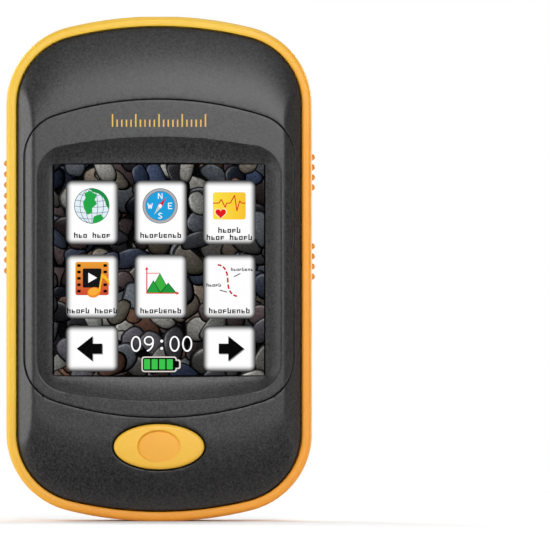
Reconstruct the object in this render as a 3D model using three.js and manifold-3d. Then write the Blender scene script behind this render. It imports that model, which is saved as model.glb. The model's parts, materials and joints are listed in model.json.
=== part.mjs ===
// Handheld GPS unit: a barrel-shaped outdoor navigator with a square touch screen, a soft band round its
// edge, an oval front key, two ribbed side keys, a ribbed port cover and a latched battery door.
//
// Everything is drawn in the face frame: x to the right, y up the face, z out of the face towards the user.
// The group that is exported turns that frame upright, so that y becomes +Z and the face looks along -Y.
// All sizes are in millimetres.

import * as THREE from "three";
import { mergeVertices } from "three/addons/utils/BufferGeometryUtils.js";
import Module from "manifold-3d";

const wasm = await Module();
wasm.setup();

// ---------------------------------------------------------------- driving dimensions

const LENGTH = 100;
const WIDTH = 60.6;
const DEPTH = 24;
const FRONT_Z = DEPTH / 2;
const REAR_Z = -DEPTH / 2;
const MID_Y = LENGTH / 2;

// The front face: a plateau with straight bevels down both sides and rolled ends.
const EDGE_Z = 8.2; // height of the front shell's outer edge
const PLATEAU_RISE = 3.1;
const CROWN = 0.2;
const END_ROLL = 14; // how far in from the ends the face reaches its full height
const CREASE_SOFTNESS = 0.9;

const SHELL_INSET = 2.15; // the shells lie this far inside the band's outline
const WALL = 1.75;
const BAND_INSET = 1.9;
const BAND_FRONT_Z = 8.5;
const BAND_REAR_Z = -6.6;
const SPLIT_Z = -1.85; // where the front shell meets the rear case
const SPLIT_GAP = 0.3;

// The stack behind the screen, front to rear.
const RECESS_Z = 11.35;
const WINDOW_Z = 9.7;
const GLASS = { front: 9.2, rear: 8.1 };
const BEZEL_REAR_Z = 7.7;
const LEDGE = { front: 7.6, rear: 6.6 };
const PANEL = { front: 7.5, rear: 5.0 };
const CHASSIS = { front: 4.6, rear: 3.9 };
const BOARD = { front: 3.6, rear: 2.6 };
const BOARD_FACE = BOARD.front + 0.05; // parts stand a solder film clear of the board
const BOARD_BACK = BOARD.rear - 0.05;

// Keys and the port cover all sit at one depth in the band.
const SIDE_Z = 1.2;
const PAD_DEPTH = 6.2;
const SIDE_X = WIDTH / 2;
const RIB_RADIUS = 0.62;
const FIT = 0.3; // running clearance round everything that moves

const BUTTON = { y: 14.8, halfWidth: 8.95, halfHeight: 4.5, proud: 0.5 };
const UPPER_KEY_Y = 69.2;
const LOWER_KEY_Y = 51.5;
const KEY = { length: 9.6, padX: 28.95, stemX: 24.85, stemRadius: 1.3, ribs: 4, ribPitch: 2.0 };
const COVER = { lowY: 48.6, highY: 72.2, innerX: 28.5, plugX: 26.9, ribs: 11, ribPitch: 2.13, ribMidY: 60.3 };
const HINGE_PIN = { x: -29.4, radius: 0.35, reach: 4.2 }; // the port cover's, at its low end

const BAY = { halfWidth: 16.2, lowY: 13, highY: 76.6, floorZ: -4.2 };
const DOOR = { halfWidth: 17.5, lowY: 10, hingeY: 77.05, innerZ: -10.05, outerZ: -11.95 };
const LATCH_Y = 21.9;
const LATCH = { headRadius: 4.5, dishRadius: 7.2, ringRadius: 5.9, wireRadius: 0.5, wireZ: -11.0 };
const HOOK_X = 13.25;
const CASE_SCREWS = [-1, 1].flatMap((sx) => [14.5, 85.5].map((y) => [sx * 20.5, y]));
const BOARD_SCREWS = [[-12, 90.5], [12, 90.5], [-14, 9.5], [14, 9.5]];
const LANYARD = { y: 94.4, z: -9.2, halfWidth: 4.5, pinRadius: 0.8, pinHalf: 6.2 };

// ---------------------------------------------------------------- outlines

// A closed outline with straight sides, ends that are one shallow arc each, and round corners between them.
const barrel = (halfWidth, halfHeight, endRadius, cornerRadius, midY = MID_Y) => ({
  halfWidth,
  halfHeight,
  endRadius,
  cornerRadius,
  midY,
});

const inset = (o, d) =>
  barrel(o.halfWidth - d, o.halfHeight - d, o.endRadius - d, o.cornerRadius - d, o.midY);

const rectangle = (halfWidth, lowY, highY, cornerRadius) =>
  barrel(halfWidth, (highY - lowY) / 2, 900, cornerRadius, (lowY + highY) / 2);

// The ends are drawn as chords, and the middle chord is the flat land that the unit stands on.
const CHORD_SAG = 0.09;
const RIM = barrel(WIDTH / 2, LENGTH / 2 + CHORD_SAG, 76, 15.8);
const SHELL = inset(RIM, SHELL_INSET);
const CAVITY = inset(SHELL, WALL);
const BEZEL = barrel(26.52, 31.35, 67, 8.5, 52.1);
const BEZEL_OPENING = barrel(26.97, 31.6, 67.3, 8.9, 52.1);
const RECESS = barrel(24.2, 26.05, 103, 6.1);
const WINDOW = rectangle(21.1, 28.6, 71.0, 0.4);

// Where an outline's corner arc is centred, and how far round the end arc runs.
function cornerOf(o) {
  const x = o.halfWidth - o.cornerRadius;
  const reach = o.endRadius - o.cornerRadius;
  return { x, y: o.halfHeight - o.endRadius + Math.sqrt(reach * reach - x * x), sweep: Math.asin(x / reach) };
}

// The outline's points, anticlockwise, with the same count for every outline so that any two can be lofted.
function outlinePoints(o, cornerSteps = 6, endSteps = 5) {
  const corner = cornerOf(o);
  const upper = [];
  for (let i = 0; i <= cornerSteps; i++) {
    const a = ((Math.PI / 2 - corner.sweep) * i) / cornerSteps;
    upper.push([corner.x + o.cornerRadius * Math.cos(a), corner.y + o.cornerRadius * Math.sin(a)]);
  }
  for (let i = 1; i < endSteps; i++) {
    const a = Math.PI / 2 - corner.sweep + (2 * corner.sweep * i) / endSteps;
    upper.push([o.endRadius * Math.cos(a), o.halfHeight - o.endRadius + o.endRadius * Math.sin(a)]);
  }
  const mirrored = upper.slice(0, cornerSteps + 1).reverse();
  upper.push(...mirrored.map(([x, y]) => [-x, y]));
  const lower = upper.map(([x, y]) => [-x, -y]);
  return [...upper, ...lower].map(([x, y]) => new THREE.Vector2(x, y + o.midY));
}

function ellipsePoints(halfWidth, halfHeight, midY, steps = 32) {
  return Array.from({ length: steps }, (_, i) => {
    const a = (2 * Math.PI * i) / steps;
    return new THREE.Vector2(halfWidth * Math.cos(a), midY + halfHeight * Math.sin(a));
  });
}

// How far the shell's outline reaches above the middle at this x.
function shellEndAt(x) {
  const corner = cornerOf(SHELL);
  const ax = Math.min(Math.abs(x), SHELL.halfWidth);
  if (ax < SHELL.endRadius * Math.sin(corner.sweep)) {
    return SHELL.halfHeight - SHELL.endRadius + Math.sqrt(SHELL.endRadius ** 2 - ax * ax);
  }
  return corner.y + Math.sqrt(Math.max(0, SHELL.cornerRadius ** 2 - (ax - corner.x) ** 2));
}

function softMin(a, b, softness) {
  const blend = Math.max(softness - Math.abs(a - b), 0) / softness;
  return Math.min(a, b) - (blend * blend * softness) / 4;
}

// The height of the front face: the lower of the side bevel and the plateau with its rolled ends.
function faceHeight(x, y) {
  const bevel = SHELL.halfWidth - Math.abs(x);
  const fromEnd = shellEndAt(x) - Math.abs(y - MID_Y);
  const roll = 1 - Math.min(1, Math.max(0, fromEnd) / END_ROLL);
  const plateau = PLATEAU_RISE * (1 - roll * roll) + CROWN * (1 - (x / SHELL.halfWidth) ** 2) * (1 - roll);
  return EDGE_Z + Math.max(0, softMin(bevel, plateau, CREASE_SOFTNESS));
}

// ---------------------------------------------------------------- solids

// A copy with positions alone, whose coincident corners are one vertex.
function welded(geometry) {
  const bare = new THREE.BufferGeometry();
  bare.setAttribute("position", geometry.attributes.position);
  bare.setIndex(geometry.index);
  return mergeVertices(bare, 1e-4);
}

function toSolid(geometry) {
  const merged = welded(geometry);
  return new wasm.Manifold(
    new wasm.Mesh({
      numProp: 3,
      vertProperties: new Float32Array(merged.attributes.position.array),
      triVerts: new Uint32Array(merged.index.array),
    }),
  );
}

function toGeometry(solid) {
  const mesh = solid.getMesh();
  const geometry = new THREE.BufferGeometry();
  geometry.setAttribute("position", new THREE.BufferAttribute(new Float32Array(mesh.vertProperties), 3));
  geometry.setIndex(new THREE.BufferAttribute(new Uint32Array(mesh.triVerts), 1));
  const flat = geometry.toNonIndexed();
  flat.computeVertexNormals();
  return flat;
}

const join = (first, ...others) =>
  toGeometry(others.reduce((solid, other) => solid.add(toSolid(other)), toSolid(first)));
const cut = (first, ...others) =>
  toGeometry(others.reduce((solid, other) => solid.subtract(toSolid(other)), toSolid(first)));
const common = (first, second) => toGeometry(toSolid(first).intersect(toSolid(second)));

// A closed solid through rings of equally many points, from the lowest ring to the highest.
// A level is {points, z}, where z is a height or a function of x and y.
function stack(levels) {
  const height = (level, x, y) => (typeof level.z === "function" ? level.z(x, y) : level.z);
  const count = levels[0].points.length;
  const vertices = levels.flatMap((l) => l.points.map((p) => [p.x, p.y, height(l, p.x, p.y)]));
  const faces = [];
  for (let k = 0; k + 1 < levels.length; k++) {
    for (let i = 0; i < count; i++) {
      const [a, b] = [k * count + i, k * count + ((i + 1) % count)];
      faces.push([a, b, b + count], [a, b + count, a + count]);
    }
  }
  for (const [level, ring, up] of [[levels[0], 0, false], [levels.at(-1), levels.length - 1, true]]) {
    const x = level.points.reduce((s, p) => s + p.x, 0) / count;
    const y = level.points.reduce((s, p) => s + p.y, 0) / count;
    const hub = vertices.push([x, y, height(level, x, y)]) - 1;
    for (let i = 0; i < count; i++) {
      const [a, b] = [ring * count + i, ring * count + ((i + 1) % count)];
      faces.push(up ? [a, b, hub] : [b, a, hub]);
    }
  }
  const geometry = new THREE.BufferGeometry();
  geometry.setAttribute("position", new THREE.Float32BufferAttribute(vertices.flat(), 3));
  geometry.setIndex(faces.flat());
  return geometry;
}

const prism = (outline, lowZ, highZ) => {
  const points = outlinePoints(outline);
  return stack([{ points, z: lowZ }, { points, z: highZ }]);
};

const ellipsePrism = (halfWidth, halfHeight, midY, lowZ, highZ) => {
  const points = ellipsePoints(halfWidth, halfHeight, midY);
  return stack([{ points, z: lowZ }, { points, z: highZ }]);
};

const box = (x0, x1, y0, y1, z0, z1) =>
  new THREE.BoxGeometry(x1 - x0, y1 - y0, z1 - z0).translate((x0 + x1) / 2, (y0 + y1) / 2, (z0 + z1) / 2);

const rodZ = (radius, x, y, lowZ, highZ, sides = 16) =>
  new THREE.CylinderGeometry(radius, radius, highZ - lowZ, sides)
    .rotateX(Math.PI / 2)
    .translate(x, y, (lowZ + highZ) / 2);

const rodX = (radius, lowX, highX, y, z, sides = 12) =>
  new THREE.CylinderGeometry(radius, radius, highX - lowX, sides)
    .rotateZ(Math.PI / 2)
    .translate((lowX + highX) / 2, y, z);

// A slab with round corners in the y-z plane, standing on the side of the unit.
function sidePad(lowX, highX, lowY, highY, cornerRadius) {
  const shape = new THREE.Shape();
  const [w, h, r] = [PAD_DEPTH / 2, (highY - lowY) / 2, cornerRadius];
  shape.absarc(w - r, h - r, r, 0, Math.PI / 2);
  shape.absarc(-w + r, h - r, r, Math.PI / 2, Math.PI);
  shape.absarc(-w + r, -h + r, r, Math.PI, 1.5 * Math.PI);
  shape.absarc(w - r, -h + r, r, 1.5 * Math.PI, 2 * Math.PI);
  return new THREE.ExtrudeGeometry(shape, { depth: highX - lowX, bevelEnabled: false, curveSegments: 3 })
    .rotateY(Math.PI / 2)
    .translate(lowX, (lowY + highY) / 2, SIDE_Z);
}

// A row of half-round ribs that run through the depth of a pad, standing on the face at x.
function ribs(x, midY, count, pitch) {
  return Array.from({ length: count }, (_, i) =>
    rodZ(RIB_RADIUS, x, midY + (i - (count - 1) / 2) * pitch, SIDE_Z - 2.6, SIDE_Z + 2.6, 8),
  );
}

const ring = (radius, wire, x, y, z) =>
  new THREE.TorusGeometry(radius, wire, 6, 16).translate(x, y, z);

// ---------------------------------------------------------------- materials

const finish = (color, roughness, metalness = 0) =>
  new THREE.MeshStandardMaterial({ color, roughness, metalness });

const MATERIALS = {
  charcoal: finish(0x3c3d3f, 0.55),
  amber: finish(0xf2a93c, 0.5),
  blackRubber: finish(0x1c1c1d, 0.85),
  glass: finish(0x1a1c20, 0.08),
  screen: finish(0x56606c, 0.3),
  steel: finish(0xb9bcc0, 0.3, 1),
  gold: finish(0xd0a545, 0.3, 1),
  board: finish(0x1f6b3a, 0.6),
  blackPlastic: finish(0x202124, 0.6),
  whitePlastic: finish(0xd9d9d2, 0.6),
  ceramic: finish(0xcbb894, 0.7),
  battery: finish(0x2d3f58, 0.5),
};

const unit = new THREE.Group();

function add(name, material, geometry, position = [0, 0, 0]) {
  const mesh = new THREE.Mesh(geometry, MATERIALS[material]);
  mesh.name = name;
  mesh.position.set(...position);
  unit.add(mesh);
}

// ---------------------------------------------------------------- housing

// A solid block under the front face, from lowZ up to the face.
function faceBlock(lowZ) {
  const rings = [SHELL_INSET, 3.6, 5.3, 8.5, 12, 15].map((d) => outlinePoints(inset(RIM, d)));
  return stack([
    { points: rings[0], z: lowZ },
    { points: rings[0], z: EDGE_Z },
    ...rings.slice(1).map((points) => ({ points, z: faceHeight })),
  ]);
}

function frontShell() {
  const shell = cut(
    faceBlock(SPLIT_Z + SPLIT_GAP / 2),
    prism(CAVITY, SPLIT_Z - 1, LEDGE.rear),
    prism(BEZEL_OPENING, LEDGE.front, FRONT_Z + 2),
    prism(inset(BEZEL_OPENING, 2.4), LEDGE.rear - 1, LEDGE.front + 1),
    box(-23.3, 23.3, 24.2, 75.4, LEDGE.rear - 1, LEDGE.front + 0.1),
    box(-17, 17, 86, 91, LEDGE.rear - 1, 8.6),
    ellipsePrism(11, 6.6, BUTTON.y, LEDGE.rear - 1, 9.7),
  );
  const bosses = [
    ...CASE_SCREWS.map(([x, y]) => rodZ(2.6, x, y, SPLIT_Z + SPLIT_GAP / 2, 7.5)),
    ...BOARD_SCREWS.map(([x, y]) => rodZ(2, x, y, BOARD.front + 0.1, 7.5)),
  ];
  const holes = [
    ellipsePrism(BUTTON.halfWidth + 0.28, BUTTON.halfHeight + 0.28, BUTTON.y, 6, FRONT_Z + 2),
    ...CASE_SCREWS.map(([x, y]) => rodZ(1.2, x, y, SPLIT_Z - 1, 4.5, 10)),
    ...BOARD_SCREWS.map(([x, y]) => rodZ(0.85, x, y, 2, 6.6, 8)),
    ...[UPPER_KEY_Y, LOWER_KEY_Y].map((y) => rodX(KEY.stemRadius + 0.4, 24, 30, y, SIDE_Z)),
    box(-30, -24, 50.2, 70.9, -0.55, 3.15),
  ];
  return cut(join(shell, ...bosses), ...holes);
}

function screenBezel() {
  const plate = common(faceBlock(BEZEL_REAR_Z), prism(BEZEL, BEZEL_REAR_Z - 1, FRONT_Z + 2));
  const recess = stack([
    { points: outlinePoints(WINDOW), z: WINDOW_Z },
    { points: outlinePoints(RECESS), z: RECESS_Z },
    { points: outlinePoints(inset(RECESS, -1.4)), z: FRONT_Z + 0.2 },
  ]);
  const glassPocket = box(-23.3, 23.3, 26.2, 73.4, BEZEL_REAR_Z - 1, GLASS.front + 0.05);
  return cut(plate, recess, prism(WINDOW, BEZEL_REAR_Z, FRONT_Z), glassPocket);
}

// The soft band that wraps the joint between the two shells.
function bumperBand() {
  const outer = [
    [0.95, BAND_REAR_Z],
    [0.25, BAND_REAR_Z + 0.8],
    [0, BAND_REAR_Z + 1.8],
    [0, BAND_FRONT_Z - 1.6],
    [0.25, BAND_FRONT_Z - 0.7],
    [0.8, BAND_FRONT_Z],
  ].map(([d, z]) => ({ points: outlinePoints(inset(RIM, d)), z }));
  const half = PAD_DEPTH / 2 + FIT;
  const keyWindow = (y) =>
    box(27, 32, y - KEY.length / 2 - FIT, y + KEY.length / 2 + FIT, SIDE_Z - half, SIDE_Z + half);
  return cut(
    stack(outer),
    prism(inset(RIM, BAND_INSET), BAND_REAR_Z - 1, BAND_FRONT_Z + 1),
    keyWindow(UPPER_KEY_Y),
    keyWindow(LOWER_KEY_Y),
    box(-32, -27, 46.9, COVER.highY + FIT, SIDE_Z - half, SIDE_Z + half),
    hingePin(HINGE_PIN.radius + 0.1),
  );
}

// The recess that the battery door lies in: round corners at the foot, square along the hinge.
function doorRecess() {
  const hingeEnd = DOOR.hingeY + 1.25;
  const outline = rectangle(DOOR.halfWidth + FIT, DOOR.lowY - FIT, hingeEnd + 6, 4.2);
  return cut(prism(outline, REAR_Z - 1, -9.9), box(-20, 20, hingeEnd, 95, REAR_Z - 2, -9));
}

function rearCase() {
  const joint = SPLIT_Z - SPLIT_GAP / 2;
  const block = stack(
    [
      [6.8, REAR_Z],
      [5.0, -11.3],
      [3.2, -9.2],
      [SHELL_INSET, -6.4],
      [SHELL_INSET, joint],
    ].map(([d, z]) => ({ points: outlinePoints(inset(RIM, d)), z })),
  );
  const speakerSlots = [3, 5, 6, 5, 3].map((halfWidth, i) => {
    const y = 85.3 + (i - 2) * 1.7;
    return box(-halfWidth, halfWidth, y - 0.45, y + 0.45, REAR_Z - 1, -10);
  });
  const hookPockets = [-HOOK_X, HOOK_X].map((x) => box(x - 2.75, x + 2.75, 76.3, 81.2, -10.45, -6.7));
  const sidePockets = [box(-24.4, -18, 21, 79, -8.6, 0), box(18, 24.4, 21, 79, -8.6, 0)];
  return cut(
    block,
    prism(CAVITY, -3.2, 0),
    ...sidePockets,
    prism(rectangle(BAY.halfWidth, BAY.lowY, BAY.highY, 1.2), REAR_Z - 1, BAY.floorZ),
    doorRecess(),
    box(-13, 13, 7.8, 13.4, -8.8, -6.9),
    ...hookPockets,
    box(-8.4, 8.4, 80.4, 90.2, -10.2, 0),
    ...speakerSlots,
    box(-6.3, 6.3, 73.9, 76.59, -5, 0),
    ...CASE_SCREWS.map(([x, y]) => rodZ(2.3, x, y, REAR_Z - 1, -8)),
    ...CASE_SCREWS.map(([x, y]) => rodZ(1.35, x, y, -9, 0, 10)),
    box(-LANYARD.halfWidth, LANYARD.halfWidth, 91.9, 101, REAR_Z - 1, -6.4),
    rodX(LANYARD.pinRadius + 0.15, -LANYARD.pinHalf - 0.2, LANYARD.pinHalf + 0.2, LANYARD.y, LANYARD.z),
  );
}

function caseSeal() {
  return cut(
    prism(inset(CAVITY, 0.2), -2.9, -1.2),
    prism(inset(CAVITY, 0.9), -4, 0),
    ...CASE_SCREWS.map(([x, y]) => rodZ(2.9, x, y, -4, 0)),
  );
}

const caseScrew = () =>
  cut(join(rodZ(2, 0, 0, 0, 1.5), rodZ(1, 0, 0, 1.4, 11.5, 8)), rodZ(0.8, 0, 0, -1, 0.9, 6));
const boardScrew = () => join(rodZ(1.5, 0, 0, 0, 0.9, 12), rodZ(0.7, 0, 0, 0.8, 4.6, 8));

function buildHousing() {
  add("front_shell", "charcoal", frontShell());
  add("screen_bezel", "charcoal", screenBezel());
  add("bumper_band", "amber", bumperBand());
  add("rear_case", "charcoal", rearCase());
  add("case_seal", "blackRubber", caseSeal());
  CASE_SCREWS.forEach(([x, y], i) => {
    add(`case_screw_${i + 1}`, "steel", caseScrew(), [x, y, -9.6]);
  });
  const { y, z, pinRadius, pinHalf } = LANYARD;
  add("lanyard_pin", "steel", rodX(pinRadius, -pinHalf, pinHalf, y, z));
}

// ---------------------------------------------------------------- battery door and its latch

function batteryDoor() {
  const midZ = (DOOR.innerZ + DOOR.outerZ) / 2;
  const edgeRadius = (DOOR.innerZ - DOOR.outerZ) / 2;
  const plate = prism(rectangle(DOOR.halfWidth, DOOR.lowY, DOOR.hingeY + 4, 4), DOOR.outerZ, DOOR.innerZ);
  const body = join(
    cut(plate, box(-20, 20, DOOR.hingeY, 90, -13, -9)),
    rodX(edgeRadius, -DOOR.halfWidth, DOOR.halfWidth, DOOR.hingeY, midZ, 16),
    ...[-HOOK_X, HOOK_X].flatMap((x) => [
      box(x - 2.35, x + 2.35, 75.8, 77.6, -10.7, -9.2),
      box(x - 2.35, x + 2.35, 76.6, 80.4, -10.25, -9.2),
    ]),
    rodZ(7.9, 0, LATCH_Y, -10.2, -8.75, 24),
  );
  const gripGrooves = [0, 1, 2, 3, 4].map((i) => box(-9, 9, 66 + i * 1.8, 66.8 + i * 1.8, -13, -11.55));
  return cut(
    body,
    rodZ(LATCH.dishRadius, 0, LATCH_Y, -13, -10.0, 28),
    rodZ(2.65, 0, LATCH_Y, -11, -8, 16),
    rodZ(3.6, 0, LATCH_Y, -9.7, -8, 16),
    ...gripGrooves,
  );
}

function latchKnob() {
  const turned = join(
    rodZ(LATCH.headRadius, 0, 0, DOOR.outerZ, -10.15, 24),
    rodZ(2.4, 0, 0, -10.2, -8.6),
    rodZ(1.5, 0, 0, -8.7, -7.3, 12),
  );
  const crossHole = rodX(LATCH.wireRadius + 0.15, -6, 6, 0, LATCH.wireZ);
  return cut(turned, crossHole, rodZ(0.9, 0, 0, -10.1, -7, 8));
}

// A round bow on a straight pivot bar that turns in the knob's cross hole.
function latchRing() {
  const bow = new THREE.TorusGeometry(LATCH.ringRadius, LATCH.wireRadius, 8, 14, Math.PI);
  const closed = join(
    rodX(LATCH.wireRadius, -LATCH.ringRadius, LATCH.ringRadius, 0, 0, 10),
    cappedTube(bow, LATCH.ringRadius),
  );
  return closed.translate(0, 0, LATCH.wireZ);
}

// A half ring has open ends, so each end is closed with a flat disc and the bow is turned to hang down.
function cappedTube(halfTorus, radius) {
  const merged = welded(halfTorus);
  const position = merged.attributes.position;
  const points = [];
  for (let i = 0; i < position.count; i++) {
    points.push(new THREE.Vector3().fromBufferAttribute(position, i));
  }
  const index = Array.from(merged.index.array);
  for (const side of [1, -1]) {
    const angle = (i) => Math.atan2(points[i].z, points[i].x * side - radius);
    const rim = [...points.slice(0, position.count).keys()]
      .filter((i) => Math.abs(points[i].y) < 1e-4 && points[i].x * side > 0)
      .sort((a, b) => angle(a) - angle(b));
    const hub = points.push(new THREE.Vector3(side * radius, 0, 0)) - 1;
    rim.forEach((i, k) => {
      const next = rim[(k + 1) % rim.length];
      index.push(...(side > 0 ? [i, next, hub] : [next, i, hub]));
    });
  }
  const geometry = new THREE.BufferGeometry().setFromPoints(points);
  geometry.setIndex(index);
  return geometry.rotateZ(Math.PI);
}

function buildDoor() {
  add("battery_door", "charcoal", batteryDoor());
  const sealOuter = rectangle(16.0, 13.2, 75.4, 1);
  const sealInner = rectangle(15.3, 13.85, 74.8, 0.8);
  add("door_seal", "amber", cut(prism(sealOuter, -10.0, -9.2), prism(sealInner, -11, -8)));
  add("latch_knob", "steel", latchKnob(), [0, LATCH_Y, 0]);
  add("latch_ring", "steel", latchRing(), [0, LATCH_Y, 0]);
  const tongue = cut(box(-3, 12.9, -2.9, 2.9, -8.5, -7.4), rodZ(1.75, 0, 0, -9, -7, 12));
  add("latch_tongue", "steel", tongue, [0, LATCH_Y, 0]);
  const screw = join(rodZ(2.6, 0, 0, -7.2, -6.4), rodZ(0.7, 0, 0, -9.6, -7.1, 8));
  add("latch_screw", "steel", screw, [0, LATCH_Y, 0]);
  add("latch_oring", "blackRubber", ring(3.0, 0.42, 0, LATCH_Y, -9.18));
}

// ---------------------------------------------------------------- keys and port cover

function mainButton() {
  const outline = (d) => ellipsePoints(BUTTON.halfWidth - d, BUTTON.halfHeight - d, BUTTON.y);
  const top = (x, y) => Math.min(FRONT_Z, faceHeight(x, y) + BUTTON.proud);
  const cap = stack([
    { points: outline(0), z: 8.6 },
    { points: outline(0), z: (x, y) => top(x, y) - 0.5 },
    { points: outline(0.3), z: (x, y) => top(x, y) - 0.12 },
    { points: outline(0.9), z: top },
  ]);
  const dish = new THREE.SphereGeometry(1, 20, 10).scale(5.6, 4.35, 2.0).translate(0, BUTTON.y + 0.1, 13.2);
  return join(
    cut(cap, dish),
    ellipsePrism(10.3, 5.9, BUTTON.y, 8.3, 9.1),
    rodZ(1.6, 0, BUTTON.y, 5.05, 8.4),
  );
}

function sideKey() {
  return join(
    sidePad(KEY.padX, SIDE_X, -KEY.length / 2, KEY.length / 2, 1.1),
    rodX(KEY.stemRadius, KEY.stemX, KEY.padX + 0.1, 0, SIDE_Z),
    ...ribs(SIDE_X, 0, KEY.ribs, KEY.ribPitch),
  );
}

function hingePin(radius) {
  return rodZ(radius, HINGE_PIN.x, COVER.lowY, SIDE_Z - HINGE_PIN.reach, SIDE_Z + HINGE_PIN.reach, 8);
}

// The cover's lower end is round about the pin it swings on.
function portCover() {
  const endRadius = (SIDE_X - COVER.innerX) / 2;
  const [rearZ, frontZ] = [SIDE_Z - PAD_DEPTH / 2, SIDE_Z + PAD_DEPTH / 2];
  const cover = join(
    box(-SIDE_X, -COVER.innerX, COVER.lowY, COVER.highY, rearZ, frontZ),
    rodZ(endRadius, HINGE_PIN.x, COVER.lowY, rearZ, frontZ, 14),
    box(-28.6, -COVER.plugX, 50.6, 70.4, -0.25, 2.85),
    ...ribs(-SIDE_X, COVER.ribMidY, COVER.ribs, COVER.ribPitch),
  );
  return cut(cover, hingePin(HINGE_PIN.radius + 0.15));
}

function buildKeys() {
  add("main_button", "amber", mainButton());
  const seal = cut(ellipsePrism(10.3, 5.9, BUTTON.y, 9.2, 9.6), ellipsePrism(9.4, 4.95, BUTTON.y, 9, 10));
  add("main_button_seal", "blackRubber", seal);
  for (const [name, y] of [["upper", UPPER_KEY_Y], ["lower", LOWER_KEY_Y]]) {
    add(`${name}_side_key`, "amber", sideKey(), [0, y, 0]);
    const oring = new THREE.TorusGeometry(1.85, 0.5, 6, 14).rotateY(Math.PI / 2);
    add(`${name}_key_oring`, "blackRubber", oring, [25.75, y, SIDE_Z]);
  }
  add("port_cover", "amber", portCover());
  add("port_cover_pin", "steel", hingePin(HINGE_PIN.radius));
}

// ---------------------------------------------------------------- screen

// The flat cable from the panel's low edge, round the chassis and down to its connector on the board.
function displayFlex() {
  const outside = [[24.4, 6.15], [22.6, 6.15], [22.05, 5.9], [21.9, 5.4], [21.9, 4.2]];
  const inside = [[21.55, 4.2], [21.55, 5.5], [21.7, 6.1], [22.4, 6.45], [24.4, 6.45]];
  const shape = new THREE.Shape([...outside, ...inside].map(([y, z]) => new THREE.Vector2(y, z)));
  return new THREE.ExtrudeGeometry(shape, { depth: 14, bevelEnabled: false })
    .applyMatrix4(new THREE.Matrix4().set(0, 0, 1, -7, 1, 0, 0, 0, 0, 1, 0, 0, 0, 0, 0, 1));
}

function buildScreen() {
  add("touch_glass", "glass", box(-23, 23, 26.5, 73.1, GLASS.rear, GLASS.front));
  const gasket = cut(box(-23, 23, 26.5, 73.1, 7.6, 8.0), prism(inset(WINDOW, -0.3), 7, 9));
  add("glass_gasket", "blackRubber", gasket);
  add("display_panel", "screen", box(-22.9, 22.9, 24.6, 75, PANEL.rear, PANEL.front));
  add("backlight_tray", "steel", box(-23.1, 23.1, 24.4, 75.2, CHASSIS.front + 0.1, PANEL.rear - 0.05));
  const windows = [30, 41.5, 53, 64.5].map((y) => box(-19, 19, y, y + 7, 3, 6));
  const chassis = cut(box(-24.2, 24.2, 23.2, 77, CHASSIS.rear, CHASSIS.front), ...windows);
  add("display_chassis", "blackPlastic", chassis);
  add("display_flex", "gold", displayFlex());
  add("flex_connector", "whitePlastic", box(-8, 8, 18.4, 21.35, BOARD_FACE, 5.0));
}

// ---------------------------------------------------------------- electronics

function mainBoard() {
  return cut(
    prism(inset(RIM, 5.9), BOARD.rear, BOARD.front),
    ...CASE_SCREWS.map(([x, y]) => rodZ(3.4, x, y, 0, 5)),
    ...BOARD_SCREWS.map(([x, y]) => rodZ(0.9, x, y, 0, 5, 8)),
  );
}

// A switch on the rear of the board, whose plunger faces the key.
function sideSwitch(y) {
  return join(box(20.4, 23.4, y - 2.2, y + 2.2, 0.5, BOARD_BACK), rodX(0.8, 23.3, 24.1, y, SIDE_Z, 8));
}

function usbSocket() {
  return cut(box(-26.1, -19.2, 61.9, 69.6, -0.3, BOARD_BACK), box(-27, -20.5, 62.6, 68.9, 0.3, 2.1));
}

function cardSocket() {
  return cut(box(-26.1, -12, 50.3, 61.5, 0.7, BOARD_BACK), box(-27, -12.8, 50.75, 61.05, 1.1, 2.05));
}

function buildFrontOfBoard() {
  add("main_board", "board", mainBoard());
  BOARD_SCREWS.forEach(([x, y], i) => {
    add(`board_screw_${i + 1}`, "steel", boardScrew(), [x, y, 1.6]);
  });
  add("main_key_switch", "steel", rodZ(3, 0, BUTTON.y, BOARD_FACE, 4.2));
  add("gps_antenna", "ceramic", box(-8, 8, 77.6, 93.4, BOARD_FACE, 6.3));
  add("antenna_plate", "gold", box(-6.5, 6.5, 79.1, 91.9, 6.33, 6.48));
}

function buildBackOfBoard() {
  add("upper_key_switch", "blackPlastic", sideSwitch(UPPER_KEY_Y));
  add("lower_key_switch", "blackPlastic", sideSwitch(LOWER_KEY_Y));
  add("rf_shield", "steel", box(-9, 9, 78.5, 92, 0.9, BOARD_BACK));
  add("processor_shield", "steel", box(-11, 13, 43, 65, 0.7, BOARD_BACK));
  add("compass_sensor", "blackPlastic", box(-3, 1, 30, 34, 1.6, BOARD_BACK));
  add("pressure_sensor", "steel", rodZ(2, 9, 36, 1.2, BOARD_BACK));
  add("clock_cell", "steel", rodZ(3.4, -12, 31, 0.9, BOARD_BACK));
  add("usb_socket", "steel", usbSocket());
  add("card_socket", "steel", cardSocket());
  add("memory_card", "blackPlastic", box(-26.6, -13, 50.95, 60.85, 1.25, 1.9));
}

function buildBattery() {
  add("battery_pack", "battery", prism(rectangle(15.8, 30.2, 73.4, 1.6), -9.0, -4.4));
  add("contact_block", "blackPlastic", box(-6, 6, 74.2, 76.3, -8.4, BOARD_BACK));
  [-4, 0, 4].forEach((x, i) => {
    add(`contact_blade_${i + 1}`, "gold", box(x - 0.9, x + 0.9, 73.55, 74.1, -8, -5));
  });
}

function buildSpeaker() {
  add("loudspeaker", "blackPlastic", box(-8, 8, 80.8, 89.8, -9.8, -6.6));
  const gasket = cut(box(-8, 8, 80.8, 89.8, -10.15, -9.85), box(-6.6, 6.6, 81.8, 88.8, -11, -9));
  add("speaker_gasket", "blackRubber", gasket);
}

buildHousing();
buildDoor();
buildKeys();
buildScreen();
buildFrontOfBoard();
buildBackOfBoard();
buildBattery();
buildSpeaker();

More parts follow.
